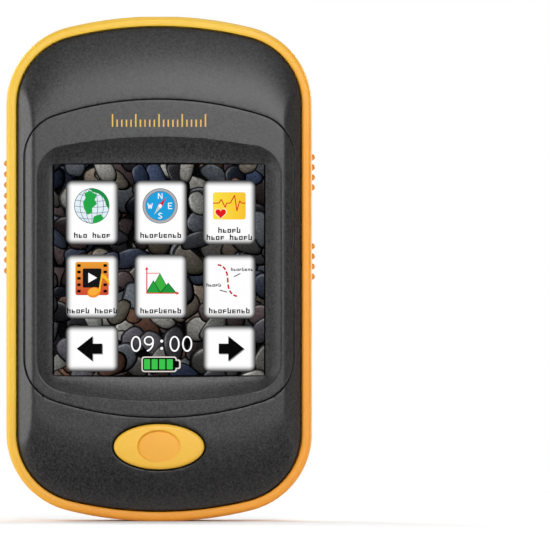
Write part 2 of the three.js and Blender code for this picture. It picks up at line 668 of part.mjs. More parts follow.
unit.rotation.x = Math.PI / 2;
const gpsUnit = new THREE.Group();
gpsUnit.add(unit);

export default gpsUnit;
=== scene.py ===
import json
import math
import random

import bmesh
import bpy
import numpy as np
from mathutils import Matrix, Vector
from mathutils.geometry import delaunay_2d_cdt
from mathutils.kdtree import KDTree


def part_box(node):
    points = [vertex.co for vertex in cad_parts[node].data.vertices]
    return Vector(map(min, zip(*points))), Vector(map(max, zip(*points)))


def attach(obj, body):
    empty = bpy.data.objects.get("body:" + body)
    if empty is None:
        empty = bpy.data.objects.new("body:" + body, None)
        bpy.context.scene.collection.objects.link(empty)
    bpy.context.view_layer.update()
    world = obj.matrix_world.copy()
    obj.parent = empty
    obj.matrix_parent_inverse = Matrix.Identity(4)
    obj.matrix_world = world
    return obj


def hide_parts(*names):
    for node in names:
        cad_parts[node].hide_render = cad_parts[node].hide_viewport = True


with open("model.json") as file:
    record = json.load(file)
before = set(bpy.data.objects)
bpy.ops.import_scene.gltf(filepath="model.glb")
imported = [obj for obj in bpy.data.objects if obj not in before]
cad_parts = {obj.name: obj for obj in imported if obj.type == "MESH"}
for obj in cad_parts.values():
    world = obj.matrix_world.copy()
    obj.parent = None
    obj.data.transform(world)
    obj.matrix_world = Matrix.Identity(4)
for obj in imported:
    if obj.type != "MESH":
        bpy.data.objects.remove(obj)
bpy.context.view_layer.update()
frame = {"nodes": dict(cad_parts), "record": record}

# Shapes are worked out in millimetres in the face frame: x to the right, y up the face, z out of the face.
# The row frame is in metres, with its Z along y and its -Y along z.
MM = 0.001


# ---------------------------------------------------------------- sizes

class FaceBox:
    """A CAD node's box in the face frame, in mm."""

    def __init__(self, node):
        low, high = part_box(node)
        self.x0, self.x1 = low.x / MM, high.x / MM
        self.y0, self.y1 = low.z / MM, high.z / MM
        self.z0, self.z1 = -high.y / MM, -low.y / MM
        self.mid_x = (self.x0 + self.x1) / 2
        self.mid_y = (self.y0 + self.y1) / 2
        self.mid_z = (self.z0 + self.z1) / 2


BAND = FaceBox("bumper_band")
SHELL = FaceBox("front_shell")
REAR = FaceBox("rear_case")
DOOR = FaceBox("battery_door")
BEZEL = FaceBox("screen_bezel")
GLASS = FaceBox("touch_glass")
PANEL = FaceBox("display_panel")
BUTTON = FaceBox("main_button")
COVER = FaceBox("port_cover")
KNOB = FaceBox("latch_knob")

LENGTH = BAND.y1 - BAND.y0
MID_Y = BAND.mid_y

# The front face: a plateau with a bevel down each side and rolled ends.
EDGE_Z = 8.2
PLATEAU_RISE = 3.1
CROWN = 0.2
END_ROLL = 14
CREASE_SOFTNESS = 0.35
WINDOW_Z = 9.7
RECESS_Z = 11.35
RECESS_SOFTNESS = 0.2
RECESS_HOLLOW = 1.5

# Under the face: the shell's wall and skirt, and the ledge that the bezel lies on.
SHELL_WALL = 1.75
SKIRT = 1.8
LEDGE_UNDERSIDE, LEDGE_TOP = 6.6, 7.6

# The rear face: flat in the middle, with a full round edge.
REAR_EDGE = 4.65
REAR_SHOULDER = 6.4
REAR_FLAT = -REAR.z0
REAR_BULGE = (1.86, 1.4)
SCREW_X, SCREW_YS = 20.5, (14.5, 85.5)
SCREW_WELL_RADIUS, SCREW_WELL_FLOOR = 2.3, 8.0
SPEAKER_Y, SPEAKER_PITCH, SPEAKER_FLOOR = 85.3, 1.7, 9.9

# The battery door, its hooks, and the room for them.
BAY_FLOOR = 4.2
DOOR_FLOOR = 9.9
DOOR_INNER = 10.05
HINGE_END = 78.0
HINGE_ROUND = 0.93
HOOK_XS, HOOK_HALF_WIDTH, HOOK_GAP = (-13.25, 13.25), 2.35, 0.4
# From y to y and from z to z: the door's hooks, and the rooms in the case for them and for the latch.
HOOK_SPAN = (76.4, 80.4, 9.2, 10.25)
HOOK_ROOM_SPAN = (75.8, 81.2, -10.45, -6.7)
LATCH_ROOM_HALF_WIDTH, LATCH_ROOM_SPAN = 13, (7.8, 13.4, -8.8, -6.9)
LATCH_BOSS, LATCH_BOWL, LATCH_BORE = 7.9, 7.2, 2.65

# The sides: the gap round each moving piece, and the ribs that stand up from it.
FIT = 0.3
BAND_THICKNESS = 1.9
RIB_RADIUS = 0.62
RIB_REACH = 2.6
KEY_RIBS, KEY_RIB_PITCH = 4, 2.0
COVER_RIBS, COVER_RIB_PITCH, COVER_RIBS_Y = 11, 2.13, 60.3
KEY_INNER, COVER_INNER, PLUG_DEPTH = 28.95, 28.5, 1.6
STEM_RADIUS, STEM_HOLE_RADIUS = 1.3, 1.7
SHELL_SIDE = (24, 30)
PORT_Z = 1.3


# ---------------------------------------------------------------- outlines

def circle(count):
    """The angles of a full turn."""
    return np.arange(count) * 2 * math.pi / count


def on_ellipse(x, y, rx, ry, angles):
    return np.column_stack([x + rx * np.cos(angles), y + ry * np.sin(angles)])


def arc(rx, ry, start, end, count=16, x=0.0, y=0.0):
    return on_ellipse(x, y, rx, ry, np.radians(np.linspace(start, end, count)))


def normals(path, closed):
    """Unit normals, on the left of a line of points."""
    tangent = np.roll(path, -1, axis=0) - np.roll(path, 1, axis=0) if closed else np.gradient(path, axis=0)
    tangent /= np.maximum(np.linalg.norm(tangent, axis=1), 1e-9)[:, None]
    return np.column_stack([-tangent[:, 1], tangent[:, 0]])


class Barrel:
    """Straight sides, ends that are one shallow arc each, and round corners between them."""

    def __init__(self, half_width, half_height, end_radius, corner_radius, mid_y=MID_Y, mid_x=0.0):
        self.half_width, self.half_height = half_width, half_height
        self.end_radius, self.corner_radius = end_radius, corner_radius
        self.mid_x, self.mid_y = mid_x, mid_y
        reach = end_radius - corner_radius
        self.corner_x = half_width - corner_radius
        self.end_y = half_height - end_radius
        self.corner_y = self.end_y + math.sqrt(reach ** 2 - self.corner_x ** 2)
        self.sweep = math.asin(self.corner_x / reach)

    def grown(self, d):
        return Barrel(self.half_width + d, self.half_height + d, self.end_radius + d,
                      max(self.corner_radius + d, 0.02), self.mid_y, self.mid_x)

    def distance(self, x, y):
        """How far outside the outline a point is; negative inside."""
        ax, ay = np.abs(x - self.mid_x), np.abs(y - self.mid_y)
        side = ax - self.half_width
        end = np.hypot(ax, ay - self.end_y) - self.end_radius
        corner = np.hypot(ax - self.corner_x, ay - self.corner_y) - self.corner_radius
        beside = ax * math.cos(self.sweep) > (ay - self.end_y) * math.sin(self.sweep)
        return np.where((ay > self.corner_y) & beside, corner, np.maximum(side, end))

    def ring(self, d=0.0, step=0.5):
        """The outline's points, anticlockwise, moved outwards by d. The count doesn't depend on d."""
        o = self.grown(d)
        corners = max(4, math.ceil(self.corner_radius * (math.pi / 2 - self.sweep) / step))
        ends = max(2, math.ceil(2 * self.sweep * self.end_radius / step))
        sides = max(1, math.ceil(2 * max(self.corner_y, 0) / step))
        a = np.linspace(0, math.pi / 2 - o.sweep, corners + 1)
        b = np.linspace(math.pi / 2 - o.sweep, math.pi / 2 + o.sweep, ends + 1)[1:-1]
        corner = on_ellipse(o.corner_x, o.corner_y, o.corner_radius, o.corner_radius, a)
        end = on_ellipse(0, o.end_y, o.end_radius, o.end_radius, b)
        upper = np.concatenate([corner, end, corner[::-1] * [-1, 1]])
        ys = np.linspace(o.corner_y, -o.corner_y, sides + 1)[1:-1]
        left = np.stack([np.full(len(ys), -o.half_width), ys], 1)
        return np.concatenate([upper, left, -upper, -left]) + [o.mid_x, o.mid_y]


NEARLY_FLAT = 900


def rectangle(x0, x1, y0, y1, corner_radius):
    return Barrel((x1 - x0) / 2, (y1 - y0) / 2, NEARLY_FLAT, corner_radius, (y0 + y1) / 2, (x0 + x1) / 2)


class Ellipse:
    def __init__(self, mid_x, mid_y, half_width, half_height):
        self.mid_x, self.mid_y, self.a, self.b = mid_x, mid_y, half_width, half_height

    def distance(self, x, y):
        px, py = x - self.mid_x, y - self.mid_y
        level = np.hypot(px / self.a, py / self.b)
        slope = np.maximum(np.hypot(px / self.a ** 2, py / self.b ** 2), 1e-9)
        return np.where(level < 1e-6, -min(self.a, self.b), level * (level - 1) / slope)

    def ring(self, d=0.0, step=0.5):
        t = circle(max(16, math.ceil(2 * math.pi * max(self.a, self.b) / step)))
        normal = np.column_stack([np.cos(t) / self.a, np.sin(t) / self.b])
        normal /= np.linalg.norm(normal, axis=1)[:, None]
        return on_ellipse(self.mid_x, self.mid_y, self.a, self.b, t) + normal * d


class Slot:
    """A stadium that lies across the face."""

    def __init__(self, mid_x, mid_y, half_length, radius):
        self.mid_x, self.mid_y, self.half_length, self.radius = mid_x, mid_y, half_length, radius

    def distance(self, x, y):
        reach = np.maximum(np.abs(x - self.mid_x) - (self.half_length - self.radius), 0)
        return np.hypot(reach, y - self.mid_y) - self.radius

    def ring(self, d=0.0, step=0.5):
        r, reach = self.radius + d, self.half_length - self.radius
        cap = on_ellipse(reach, 0, r, r, np.linspace(-math.pi / 2, math.pi / 2, 7))
        xs = np.linspace(reach, -reach, max(2, math.ceil(2 * reach / step)) + 1)[1:-1]
        top = np.stack([xs, np.full(len(xs), r)], 1)
        return np.concatenate([cap, top, -cap, -top]) + [self.mid_x, self.mid_y]


class Clipped:
    """Another shape, cut off square at high_y."""

    def __init__(self, shape, high_y):
        self.shape, self.high_y = shape, high_y

    def distance(self, x, y):
        return np.maximum(self.shape.distance(x, y), y - self.high_y)

    def ring(self, d=0.0, step=0.5):
        points = self.shape.ring(d, step)
        points[:, 1] = np.minimum(points[:, 1], self.high_y + d)
        kept = np.linalg.norm(points - np.roll(points, 1, axis=0), axis=1) > 1e-6
        return points[kept]


SHELL_INSET = BAND.x1 - SHELL.x1
RIM = Barrel(BAND.x1, LENGTH / 2 + 0.09, 76, 15.8)
SHELL_OUTLINE = RIM.grown(-SHELL_INSET)
BEZEL_MID_Y = 52.1
BEZEL_OPENING = Barrel(BEZEL.x1 + 0.35, 31.6, 67.3, 8.8, BEZEL_MID_Y)
BEZEL_OUTLINE = Barrel(BEZEL.x1, 31.43, 67.13, 8.55, BEZEL_MID_Y)
RECESS = Barrel(24.2, 26.05, 103, 6.1)
WINDOW = rectangle(-21.1, 21.1, 28.6, 71.0, 0.4)
BUTTON_OUTLINE = Ellipse(0, BUTTON.mid_y, 8.95, 4.5)
BUTTON_HOLE = Ellipse(0, BUTTON.mid_y, 9.23, 4.78)
BUTTON_DISH = Ellipse(0, BUTTON.mid_y + 0.05, 4.4, 3.35)
PORT = rectangle(-1.85, 1.85, 50.2, 70.9, 0.5)
PORT_PLUG = rectangle(-1.45, 1.65, 50.6, 70.4, 0.5)
BAY = rectangle(-16.2, 16.2, 13, 76.6, 1.2)
LANYARD_NOTCH = rectangle(-4.5, 4.5, 91.9, 104, 0.5)


# ---------------------------------------------------------------- heights

def soft_min(a, b, softness):
    blend = np.maximum(softness - np.abs(a - b), 0) / softness
    return np.minimum(a, b) - blend * blend * softness / 4


def face_height(x, y):
    """The front face: the lower of the side bevel and the plateau with its rolled ends."""
    bevel = SHELL_OUTLINE.half_width - np.abs(x)
    ax = np.minimum(np.abs(x), SHELL_OUTLINE.half_width)
    o = SHELL_OUTLINE
    on_end = o.end_y + np.sqrt(o.end_radius ** 2 - ax ** 2)
    on_corner = o.corner_y + np.sqrt(np.maximum(0, o.corner_radius ** 2 - (ax - o.corner_x) ** 2))
    reach = np.where(ax < o.end_radius * math.sin(o.sweep), on_end, on_corner)
    from_end = np.maximum(0, reach - np.abs(y - MID_Y))
    roll = 1 - np.minimum(1, from_end / END_ROLL)
    crown = CROWN * (1 - (x / o.half_width) ** 2) * (1 - roll)
    plateau = PLATEAU_RISE * (1 - roll * roll) + crown
    return EDGE_Z + np.maximum(0, soft_min(bevel, plateau, CREASE_SOFTNESS))


def bezel_height(x, y):
    """The face, cut down by the recess that slopes to the window."""
    to_window = np.maximum(WINDOW.distance(x, y), 0)
    to_recess = -RECESS.distance(x, y)
    share = np.clip(to_window / np.maximum(to_window + to_recess, 1e-6), 0, 1)
    slope = WINDOW_Z + (RECESS_Z - WINDOW_Z) * share ** RECESS_HOLLOW
    slope = np.where(to_recess < 0, RECESS_Z - to_recess * 2, slope)
    return soft_min(face_height(x, y), slope, RECESS_SOFTNESS)


def rear_height(x, y):
    """How far the rear case stands out behind, with the full round of its edge."""
    inward = np.clip(-SHELL_OUTLINE.distance(x, y) / REAR_EDGE, 0, 1)
    bulge = (1 - (1 - inward) ** REAR_BULGE[0]) ** (1 / REAR_BULGE[1])
    return REAR_SHOULDER + (REAR_FLAT - REAR_SHOULDER) * bulge


def fillet(d, radius):
    """How far a surface drops at a distance d from an edge that is rounded by this radius."""
    inside = np.clip(d, 0, radius)
    return radius - np.sqrt(np.maximum(radius ** 2 - (radius - inside) ** 2, 0))


def constant(value):
    return lambda x, y: np.full(np.shape(x), float(value))


def round_steps(radius):
    return [radius * (1 - math.cos(math.radians(a))) for a in (0, 30, 60, 90)] if radius else [0.0]


# How far a pocket's wall leans in over its depth.
POCKET_DRAFT = 0.08


class Cut:
    """A pocket with a floor at a height, or a hole right through where floor is None."""

    def __init__(self, shape, floor=None, edge=0.2, step=0.5):
        self.shape, self.floor, self.edge, self.step = shape, floor, edge, step

    def rings(self):
        offsets = round_steps(self.edge) + ([] if self.floor is None else [-POCKET_DRAFT])
        return [self.shape.ring(d, self.step) for d in offsets]

    def carve(self, heights, x, y):
        d = self.shape.distance(x, y)
        lowered = heights - np.where(d < 0, self.edge, fillet(d, self.edge)) if self.edge else heights
        if self.floor is None:
            return lowered
        share = np.clip(-d / POCKET_DRAFT, 0, 1)
        return np.where(d < 0, lowered * (1 - share) + self.floor * share, lowered)


# ---------------------------------------------------------------- mesh building

# Each frame turns a plate's (u, v, height) into the face frame.
TO_FRONT = np.array([[1, 0, 0], [0, 1, 0], [0, 0, 1]], float)
TO_REAR = np.array([[-1, 0, 0], [0, 1, 0], [0, 0, -1]], float)
TO_RIGHT = np.array([[0, 0, 1], [0, 1, 0], [-1, 0, 0]], float)
TO_LEFT = np.array([[0, 0, -1], [0, 1, 0], [1, 0, 0]], float)
TO_FLOOR = np.array([[1, 0, 0], [0, 0, 1], [0, -1, 0]], float)
TO_ROW = np.array([[1, 0, 0], [0, 0, -1], [0, 1, 0]], float) * MM


def in_polygon(points, polygon):
    x, y = points[:, 0][:, None], points[:, 1][:, None]
    x0, y0 = polygon[:, 0][None], polygon[:, 1][None]
    x1, y1 = np.roll(x0, -1), np.roll(y0, -1)
    crosses = (y0 > y) != (y1 > y)
    rise = np.where(np.abs(y1 - y0) < 1e-12, 1e-12, y1 - y0)
    at = x0 + (y - y0) * (x1 - x0) / rise
    return (np.count_nonzero(crosses & (x < at), axis=1) % 2) == 1


def triangulate(rings, boundary, holes, pitch):
    """Triangles over the boundary less the holes, with every ring kept as a line of edges."""
    points, edges = [], []
    for ring in rings:
        start = len(points)
        points.extend(ring.tolist())
        edges.extend((start + i, start + (i + 1) % len(ring)) for i in range(len(ring)))
    tree = KDTree(len(points))
    for i, (x, y) in enumerate(points):
        tree.insert((x, y, 0), i)
    tree.balance()
    low, high = boundary.min(0), boundary.max(0)
    for j, y in enumerate(np.arange(low[1] + pitch / 2, high[1], pitch)):
        for x in np.arange(low[0] + pitch * (0.25 + 0.5 * (j % 2)), high[0], pitch):
            if tree.find((x, y, 0))[2] > pitch * 0.45:
                points.append((x, y))
    corners, _, faces, *_ = delaunay_2d_cdt([Vector(p) for p in points], edges, [], 0, 1e-5, False)
    flat = np.array([tuple(c) for c in corners])
    triangles = np.array([tuple(f) for f in faces])
    centres = flat[triangles].mean(1)
    kept = in_polygon(centres, boundary)
    for hole in holes:
        kept &= ~in_polygon(centres, hole)
    triangles = triangles[kept]
    used, packed = np.unique(triangles, return_inverse=True)
    return flat[used], packed.reshape(-1, 3)


def closed_sheet(flat, triangles, top, bottom):
    """Vertices and faces of the solid between two heights over the same triangles."""
    count = len(flat)
    directed = np.concatenate([triangles[:, [0, 1]], triangles[:, [1, 2]], triangles[:, [2, 0]]])
    forward = directed[:, 0] * count + directed[:, 1]
    backward = directed[:, 1] * count + directed[:, 0]
    border = directed[~np.isin(forward, backward)]
    lip = np.maximum(top - 0.06, bottom + 0.5 * np.minimum(top - bottom, 0.02))
    vertices = np.concatenate([np.column_stack([flat, h]) for h in (top, lip, bottom)])
    faces = triangles.tolist() + (triangles[:, ::-1] + 2 * count).tolist()
    for level in (0, count):
        faces += [(a + level, a + level + count, b + level + count, b + level) for a, b in border.tolist()]
    return vertices, faces


def plate(outer, top, bottom, cuts=(), edge=0.3, pitch=0.5, lines=(), outer_steps=None, step=0.5):
    """A solid under a height function: an outline with a rounded edge, less its cuts."""
    steps = round_steps(edge) if outer_steps is None else outer_steps
    rings = [outer.ring(-d, step) for d in steps] + [r for c in cuts for r in c.rings()] + list(lines)
    holes = [c.shape.ring(0, c.step) for c in cuts if c.floor is None]
    flat, triangles = triangulate(rings, outer.ring(0, step), holes, pitch)
    x, y = flat.T
    heights = top(x, y) - fillet(-outer.distance(x, y), edge)
    for c in cuts:
        heights = c.carve(heights, x, y)
    return closed_sheet(flat, triangles, heights, bottom(x, y))


def quads(count, levels, closed=False):
    """Faces between rings of equally many points."""
    faces = []
    for k in range(levels if closed else levels - 1):
        low, high = k * count, ((k + 1) % levels) * count
        for i in range(count):
            j = (i + 1) % count
            faces.append((low + i, low + j, high + j, high + i))
    return faces


def loft(rings, closed=False):
    """Vertices and faces through rings of equally many points, capped at both ends unless closed."""
    count, levels = len(rings[0]), len(rings)
    faces = quads(count, levels, closed)
    if not closed:
        faces += [tuple(range(count))[::-1], tuple(range((levels - 1) * count, levels * count))]
    return np.concatenate(rings), faces


def level(points, z):
    return np.column_stack([points, np.full(len(points), z)])


def turned(profile, x, y, sides):
    """A solid of revolution along z, from (radius, z) pairs; a radius may also be one for each side."""
    return loft([level(on_ellipse(x, y, r, r, circle(sides)), z) for r, z in profile])


def slab(x0, x1, y0, y1, z0, z1, bevel, corner=None):
    """A box with rounded corners in x and y and a small bevel at both faces."""
    shape = rectangle(x0, x1, y0, y1, corner or bevel * 2)
    steps = ((-bevel, 0), (-bevel * 0.3, bevel * 0.3), (0, bevel))
    levels = [(d, z0 + h) for d, h in steps] + [(d, z1 - h) for d, h in steps[::-1]]
    return loft([level(shape.ring(d, 4.0), z) for d, z in levels])


def joined(*solids):
    vertices, faces = [], []
    for v, f in solids:
        shift = sum(len(x) for x in vertices)
        vertices.append(v)
        faces += [tuple(i + shift for i in face) for face in f]
    return np.concatenate(vertices), faces


def moved(solid, by):
    return solid[0] + np.array(by, float), solid[1]


def raw_mesh(name, vertices, faces, to_face=TO_FRONT):
    """A mesh in the row frame, from vertices in one of the frames above."""
    mesh = bpy.data.meshes.new(name)
    mesh.from_pydata((np.array(vertices) @ to_face.T @ TO_ROW.T).tolist(), [], [tuple(f) for f in faces])
    return mesh


def placed(name, data):
    made = bpy.data.objects.new(name, data)
    bpy.context.scene.collection.objects.link(made)
    return made


def make_object(name, solid, to_face=TO_FRONT, sharp=35):
    """A smooth object, with its normals out and its edges sharp over the given angle."""
    mesh = raw_mesh(name, *solid, to_face)
    bm = bmesh.new()
    bm.from_mesh(mesh)
    bmesh.ops.dissolve_degenerate(bm, dist=1e-8, edges=bm.edges)
    bmesh.ops.recalc_face_normals(bm, faces=bm.faces)
    bm.to_mesh(mesh)
    bm.free()
    mesh.shade_smooth()
    mesh.set_sharp_from_angle(angle=math.radians(sharp))
    return placed(name, mesh)


def add_piece(name, solid, body, slot, node=None, to_face=TO_FRONT, sharp=35, material=None):
    """A piece that rides on a body, takes its slot's finish, and may stand for a CAD node."""
    made = make_object(name, solid, to_face, sharp)
    made.data.materials.append(material or SLOT_MATERIALS[slot])
    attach(made, body)
    if node:
        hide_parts(node)
    return made


def add_print(name, mesh, material):
    """A picture or a print, which rides on the housing."""
    mesh.materials.append(material)
    made = placed(name, mesh)
    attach(made, "housing")


def subtract(target, cutters):
    """Cuts the cutters' solids out of an object's mesh, in mesh data, and deletes the cutters."""
    for cutter in cutters:
        modifier = target.modifiers.new("cut", "BOOLEAN")
        modifier.operation = "DIFFERENCE"
        modifier.solver = "EXACT"
        modifier.object = cutter
        bpy.context.view_layer.update()
        evaluated = target.evaluated_get(bpy.context.evaluated_depsgraph_get())
        mesh = bpy.data.meshes.new_from_object(evaluated)
        target.modifiers.clear()
        target.data = mesh
        bpy.data.objects.remove(cutter)


# ---------------------------------------------------------------- materials

def srgb(r, g, b):
    """A colour from 0 to 255 as it looks on a screen, as a linear RGBA."""
    shares = (c / 255 for c in (r, g, b))
    return tuple(((c + 0.055) / 1.055) ** 2.4 if c > 10 / 255 else c / 12.92 for c in shares) + (1.0,)


def scaled(colour, share):
    return tuple(c * share for c in colour[:3]) + (1,)


class Nodes:
    """A material with a Principled shader, and short ways to add nodes to it."""

    def __init__(self, name, roughness=0.5, metallic=0.0):
        self.material = bpy.data.materials.new(name)
        self.material.use_nodes = True
        self.tree = self.material.node_tree
        self.shader = self.tree.nodes["Principled BSDF"]
        self.shade({"Roughness": roughness, "Metallic": metallic})

    def fill(self, node, values):
        """Links outputs to a node's inputs, or sets the inputs to plain values."""
        for key, value in values.items():
            if hasattr(value, "links"):
                self.tree.links.new(value, node.inputs[key])
            else:
                node.inputs[key].default_value = value

    def shade(self, values):
        self.fill(self.shader, values)

    def add(self, kind, values, **settings):
        node = self.tree.nodes.new(kind)
        for key, value in settings.items():
            setattr(node, key, value)
        self.fill(node, values)
        return node

    def place(self):
        return self.add("ShaderNodeTexCoord", {}).outputs["Object"]

    def painted(self):
        """The colours that a canvas gave its mesh."""
        return self.add("ShaderNodeVertexColor", {}, layer_name="tone").outputs["Color"]

    def noise(self, scale, detail=3.0, roughness=0.5):
        values = {"Vector": self.place(), "Scale": scale, "Detail": detail, "Roughness": roughness}
        return self.add("ShaderNodeTexNoise", values).outputs["Fac"]

    def remap(self, value, low, high, from_low=0.3, from_high=0.7):
        values = {"Value": value, "From Min": from_low, "From Max": from_high, "To Min": low, "To Max": high}
        return self.add("ShaderNodeMapRange", values).outputs["Result"]

    def mix(self, factor, a, b, blend="MIX"):
        node = self.add("ShaderNodeMix", {0: factor, 6: a, 7: b}, data_type="RGBA", blend_type=blend)
        return node.outputs[2]

    def stain(self, tone, other, amount, *noise):
        """Colours the surface, with up to this much of another tone in patches."""
        self.shade({"Base Color": self.mix(self.remap(self.noise(*noise), 0, amount), tone, other)})

    def gloss(self, low, high, *noise):
        """Roughness that wanders between two values."""
        self.shade({"Roughness": self.remap(self.noise(*noise), low, high)})

    def bump(self, strength, distance, height):
        values = {"Strength": strength, "Distance": distance, "Height": height}
        self.shade({"Normal": self.add("ShaderNodeBump", values).outputs["Normal"]})

    def relief(self, strength, distance, *noise):
        self.bump(strength, distance, self.noise(*noise))


def charcoal_plastic():
    """Spark-textured charcoal moulding: a fine bright speckle, and slightly lighter patches at random."""
    n = Nodes("charcoal_plastic")
    grain = n.remap(n.noise(2300, 3.0, 0.8), 0, 1, 0.36, 0.66)
    n.stain(n.mix(grain, srgb(5, 5, 6), srgb(54, 54, 55)), srgb(44, 44, 46), 0.2, 60)
    n.gloss(0.38, 0.53, 4600, 2.0, 0.7)
    n.relief(0.16, 0.00004, 2800, 2.0, 0.6)
    return n.material


def amber_rubber(name, light, shaded_tone, dish=None):
    """Satin elastomer, yellower with painted light to the upper left, more orange with painted shade to the
    lower right and in a dish.
    """
    n = Nodes(name)
    split = n.add("ShaderNodeSeparateXYZ", {"Vector": n.place()}).outputs
    # Painted light and shade: a slant across the part, lit towards the upper left and shaded towards the
    # lower right.
    painted_light_slant = n.add("ShaderNodeMath", {0: split["Z"], 1: -0.6, 2: split["X"]}, operation="MULTIPLY_ADD")
    tone = n.mix(n.remap(painted_light_slant.outputs[0], 0, 1, -0.045, -0.015), light, shaded_tone)
    n.stain(tone, srgb(214, 128, 40), 0.14, 900, 4.0, 0.65)
    # Painted shade in the dish: a more orange tone inside its oval.
    if dish:
        place = n.add("ShaderNodeMapping", {"Vector": n.place(), "Location": (0, 0, -dish.mid_y / dish.b),
                                            "Scale": (1 / (dish.a * MM), 0.0, 1 / (dish.b * MM))})
        dish_shade_mask = n.add("ShaderNodeTexGradient", {"Vector": place.outputs[0]}, gradient_type="SPHERICAL")
        stained = n.shader.inputs["Base Color"].links[0].from_socket
        inside = n.remap(dish_shade_mask.outputs["Fac"], 0, 0.6, 0.0, 0.08)
        n.shade({"Base Color": n.mix(inside, stained, srgb(226, 152, 44))})
    n.gloss(0.46, 0.6, 140)
    n.relief(0.2, 0.00003, 3600, 2.0)
    return n.material


def matt_rubber(name, colour):
    n = Nodes(name)
    n.stain(colour, scaled(colour, 1.6), 0.5, 800, 4.0)
    n.gloss(0.7, 0.9, 400)
    n.relief(0.3, 0.00003, 3000)
    return n.material


def brushed_metal(name, colour, roughness=0.28):
    """Fine lines along one way, and a slow change of tone."""
    n = Nodes(name, metallic=1.0)
    stretched = n.add("ShaderNodeMapping", {"Vector": n.place(), "Scale": (40, 40, 2600)}).outputs[0]
    lines = n.add("ShaderNodeTexNoise", {"Vector": stretched, "Scale": 1.0, "Detail": 4.0}).outputs["Fac"]
    n.shade({"Base Color": n.mix(n.remap(lines, 0, 1), scaled(colour, 0.72), colour)})
    n.gloss(roughness * 0.8, roughness * 1.5, 300)
    n.bump(0.25, 0.00002, lines)
    return n.material


def moulded(name, colour, roughness=0.55):
    n = Nodes(name)
    n.stain(colour, scaled(colour, 0.6), 0.35, 500, 4.0)
    n.gloss(roughness - 0.08, roughness + 0.1, 220)
    n.relief(0.25, 0.00003, 2600, 2.0)
    return n.material


def circuit_board():
    """Green solder mask over a faint grid of tracks."""
    n = Nodes("circuit_board", 0.35)
    grid = n.add("ShaderNodeTexBrick", {"Vector": n.place(), "Scale": 420.0, "Mortar Size": 0.03,
                                        "Mortar": srgb(40, 110, 62), "Color1": srgb(14, 62, 34),
                                        "Color2": srgb(18, 74, 42)}).outputs
    n.stain(grid["Color"], srgb(10, 48, 28), 0.4, 300)
    n.bump(0.3, 0.00003, grid["Fac"])
    return n.material


def clear_glass():
    """Thin cover glass: it lets the picture through and keeps a faint reflection."""
    n = Nodes("cover_glass", 0.0)
    n.stain((0.0, 0.0, 0.0, 1), (0.004, 0.005, 0.006, 1), 1, 200)
    n.shade({"Alpha": 0.04})
    return n.material


def lit_picture(name, grain=0.0):
    """The display's own light, coloured by the mesh's colours."""
    n = Nodes(name, 0.4)
    shown = n.painted()
    if grain:
        speckle = n.remap(n.noise(2200, 4.0, 0.8), 1 - grain, 1 + grain)
        grey = n.add("ShaderNodeCombineColor", {"Red": speckle, "Green": speckle, "Blue": speckle})
        shown = n.mix(1.0, shown, grey.outputs[0], "MULTIPLY")
    n.shade({"Base Color": (0.0, 0.0, 0.0, 1), "Specular IOR Level": 0.0, "Emission Strength": 1.08,
             "Emission Color": shown})
    return n.material


def printed(name):
    """Ink on a film, coloured by the mesh's colours and a little worn."""
    n = Nodes(name)
    n.stain(n.painted(), srgb(40, 56, 84), 0.3, 700, 4.0)
    n.gloss(0.4, 0.55, 300)
    n.relief(0.15, 0.00002, 1800, 2.0)
    return n.material


# The button's amber, with painted shade in its thumb dish.
AMBER_BUTTON = amber_rubber("amber_button", srgb(231, 188, 62), srgb(229, 180, 56), BUTTON_DISH)
SLOT_MATERIALS = {
    "shell": charcoal_plastic(),
    "band": amber_rubber("amber_rubber", srgb(224, 183, 52), srgb(230, 152, 38)),
    "accent": amber_rubber("amber_pad", srgb(218, 150, 52), srgb(220, 142, 44)),
    "black_rubber": matt_rubber("black_rubber", srgb(20, 20, 21)),
    "seal": matt_rubber("seal_rubber", srgb(206, 110, 40)),
    "glass": clear_glass(),
    "display": moulded("display_glass", srgb(20, 22, 26), 0.2),
    "steel": brushed_metal("steel", srgb(196, 198, 202)),
    "contact_gold": brushed_metal("contact_gold", srgb(226, 186, 96), 0.25),
    "flex_film": moulded("flex_film", srgb(190, 120, 40), 0.3),
    "circuit_board": circuit_board(),
    "black_plastic": moulded("black_plastic", srgb(34, 34, 36)),
    "white_plastic": moulded("white_plastic", srgb(214, 212, 202)),
    "patch_ceramic": moulded("patch_ceramic", srgb(205, 186, 150), 0.7),
    "battery_can": moulded("battery_wrap", srgb(40, 56, 84), 0.35),
}
for row in frame["record"]["subparts"]:
    node = frame["nodes"][row["node"]]
    node.data.materials.clear()
    node.data.materials.append(SLOT_MATERIALS[row["material_slot"]])


# ---------------------------------------------------------------- front

def through_side(shape, mid_z, levels):
    """A cutter that runs across the unit: an outline in depth and height, grown by d at each x."""
    rings = []
    for d, x in levels:
        ring = shape.ring(d, 1.0)
        rings.append(np.column_stack([np.full(len(ring), x), ring[:, 1], ring[:, 0] + mid_z]))
    return make_object("cutter", loft(rings))


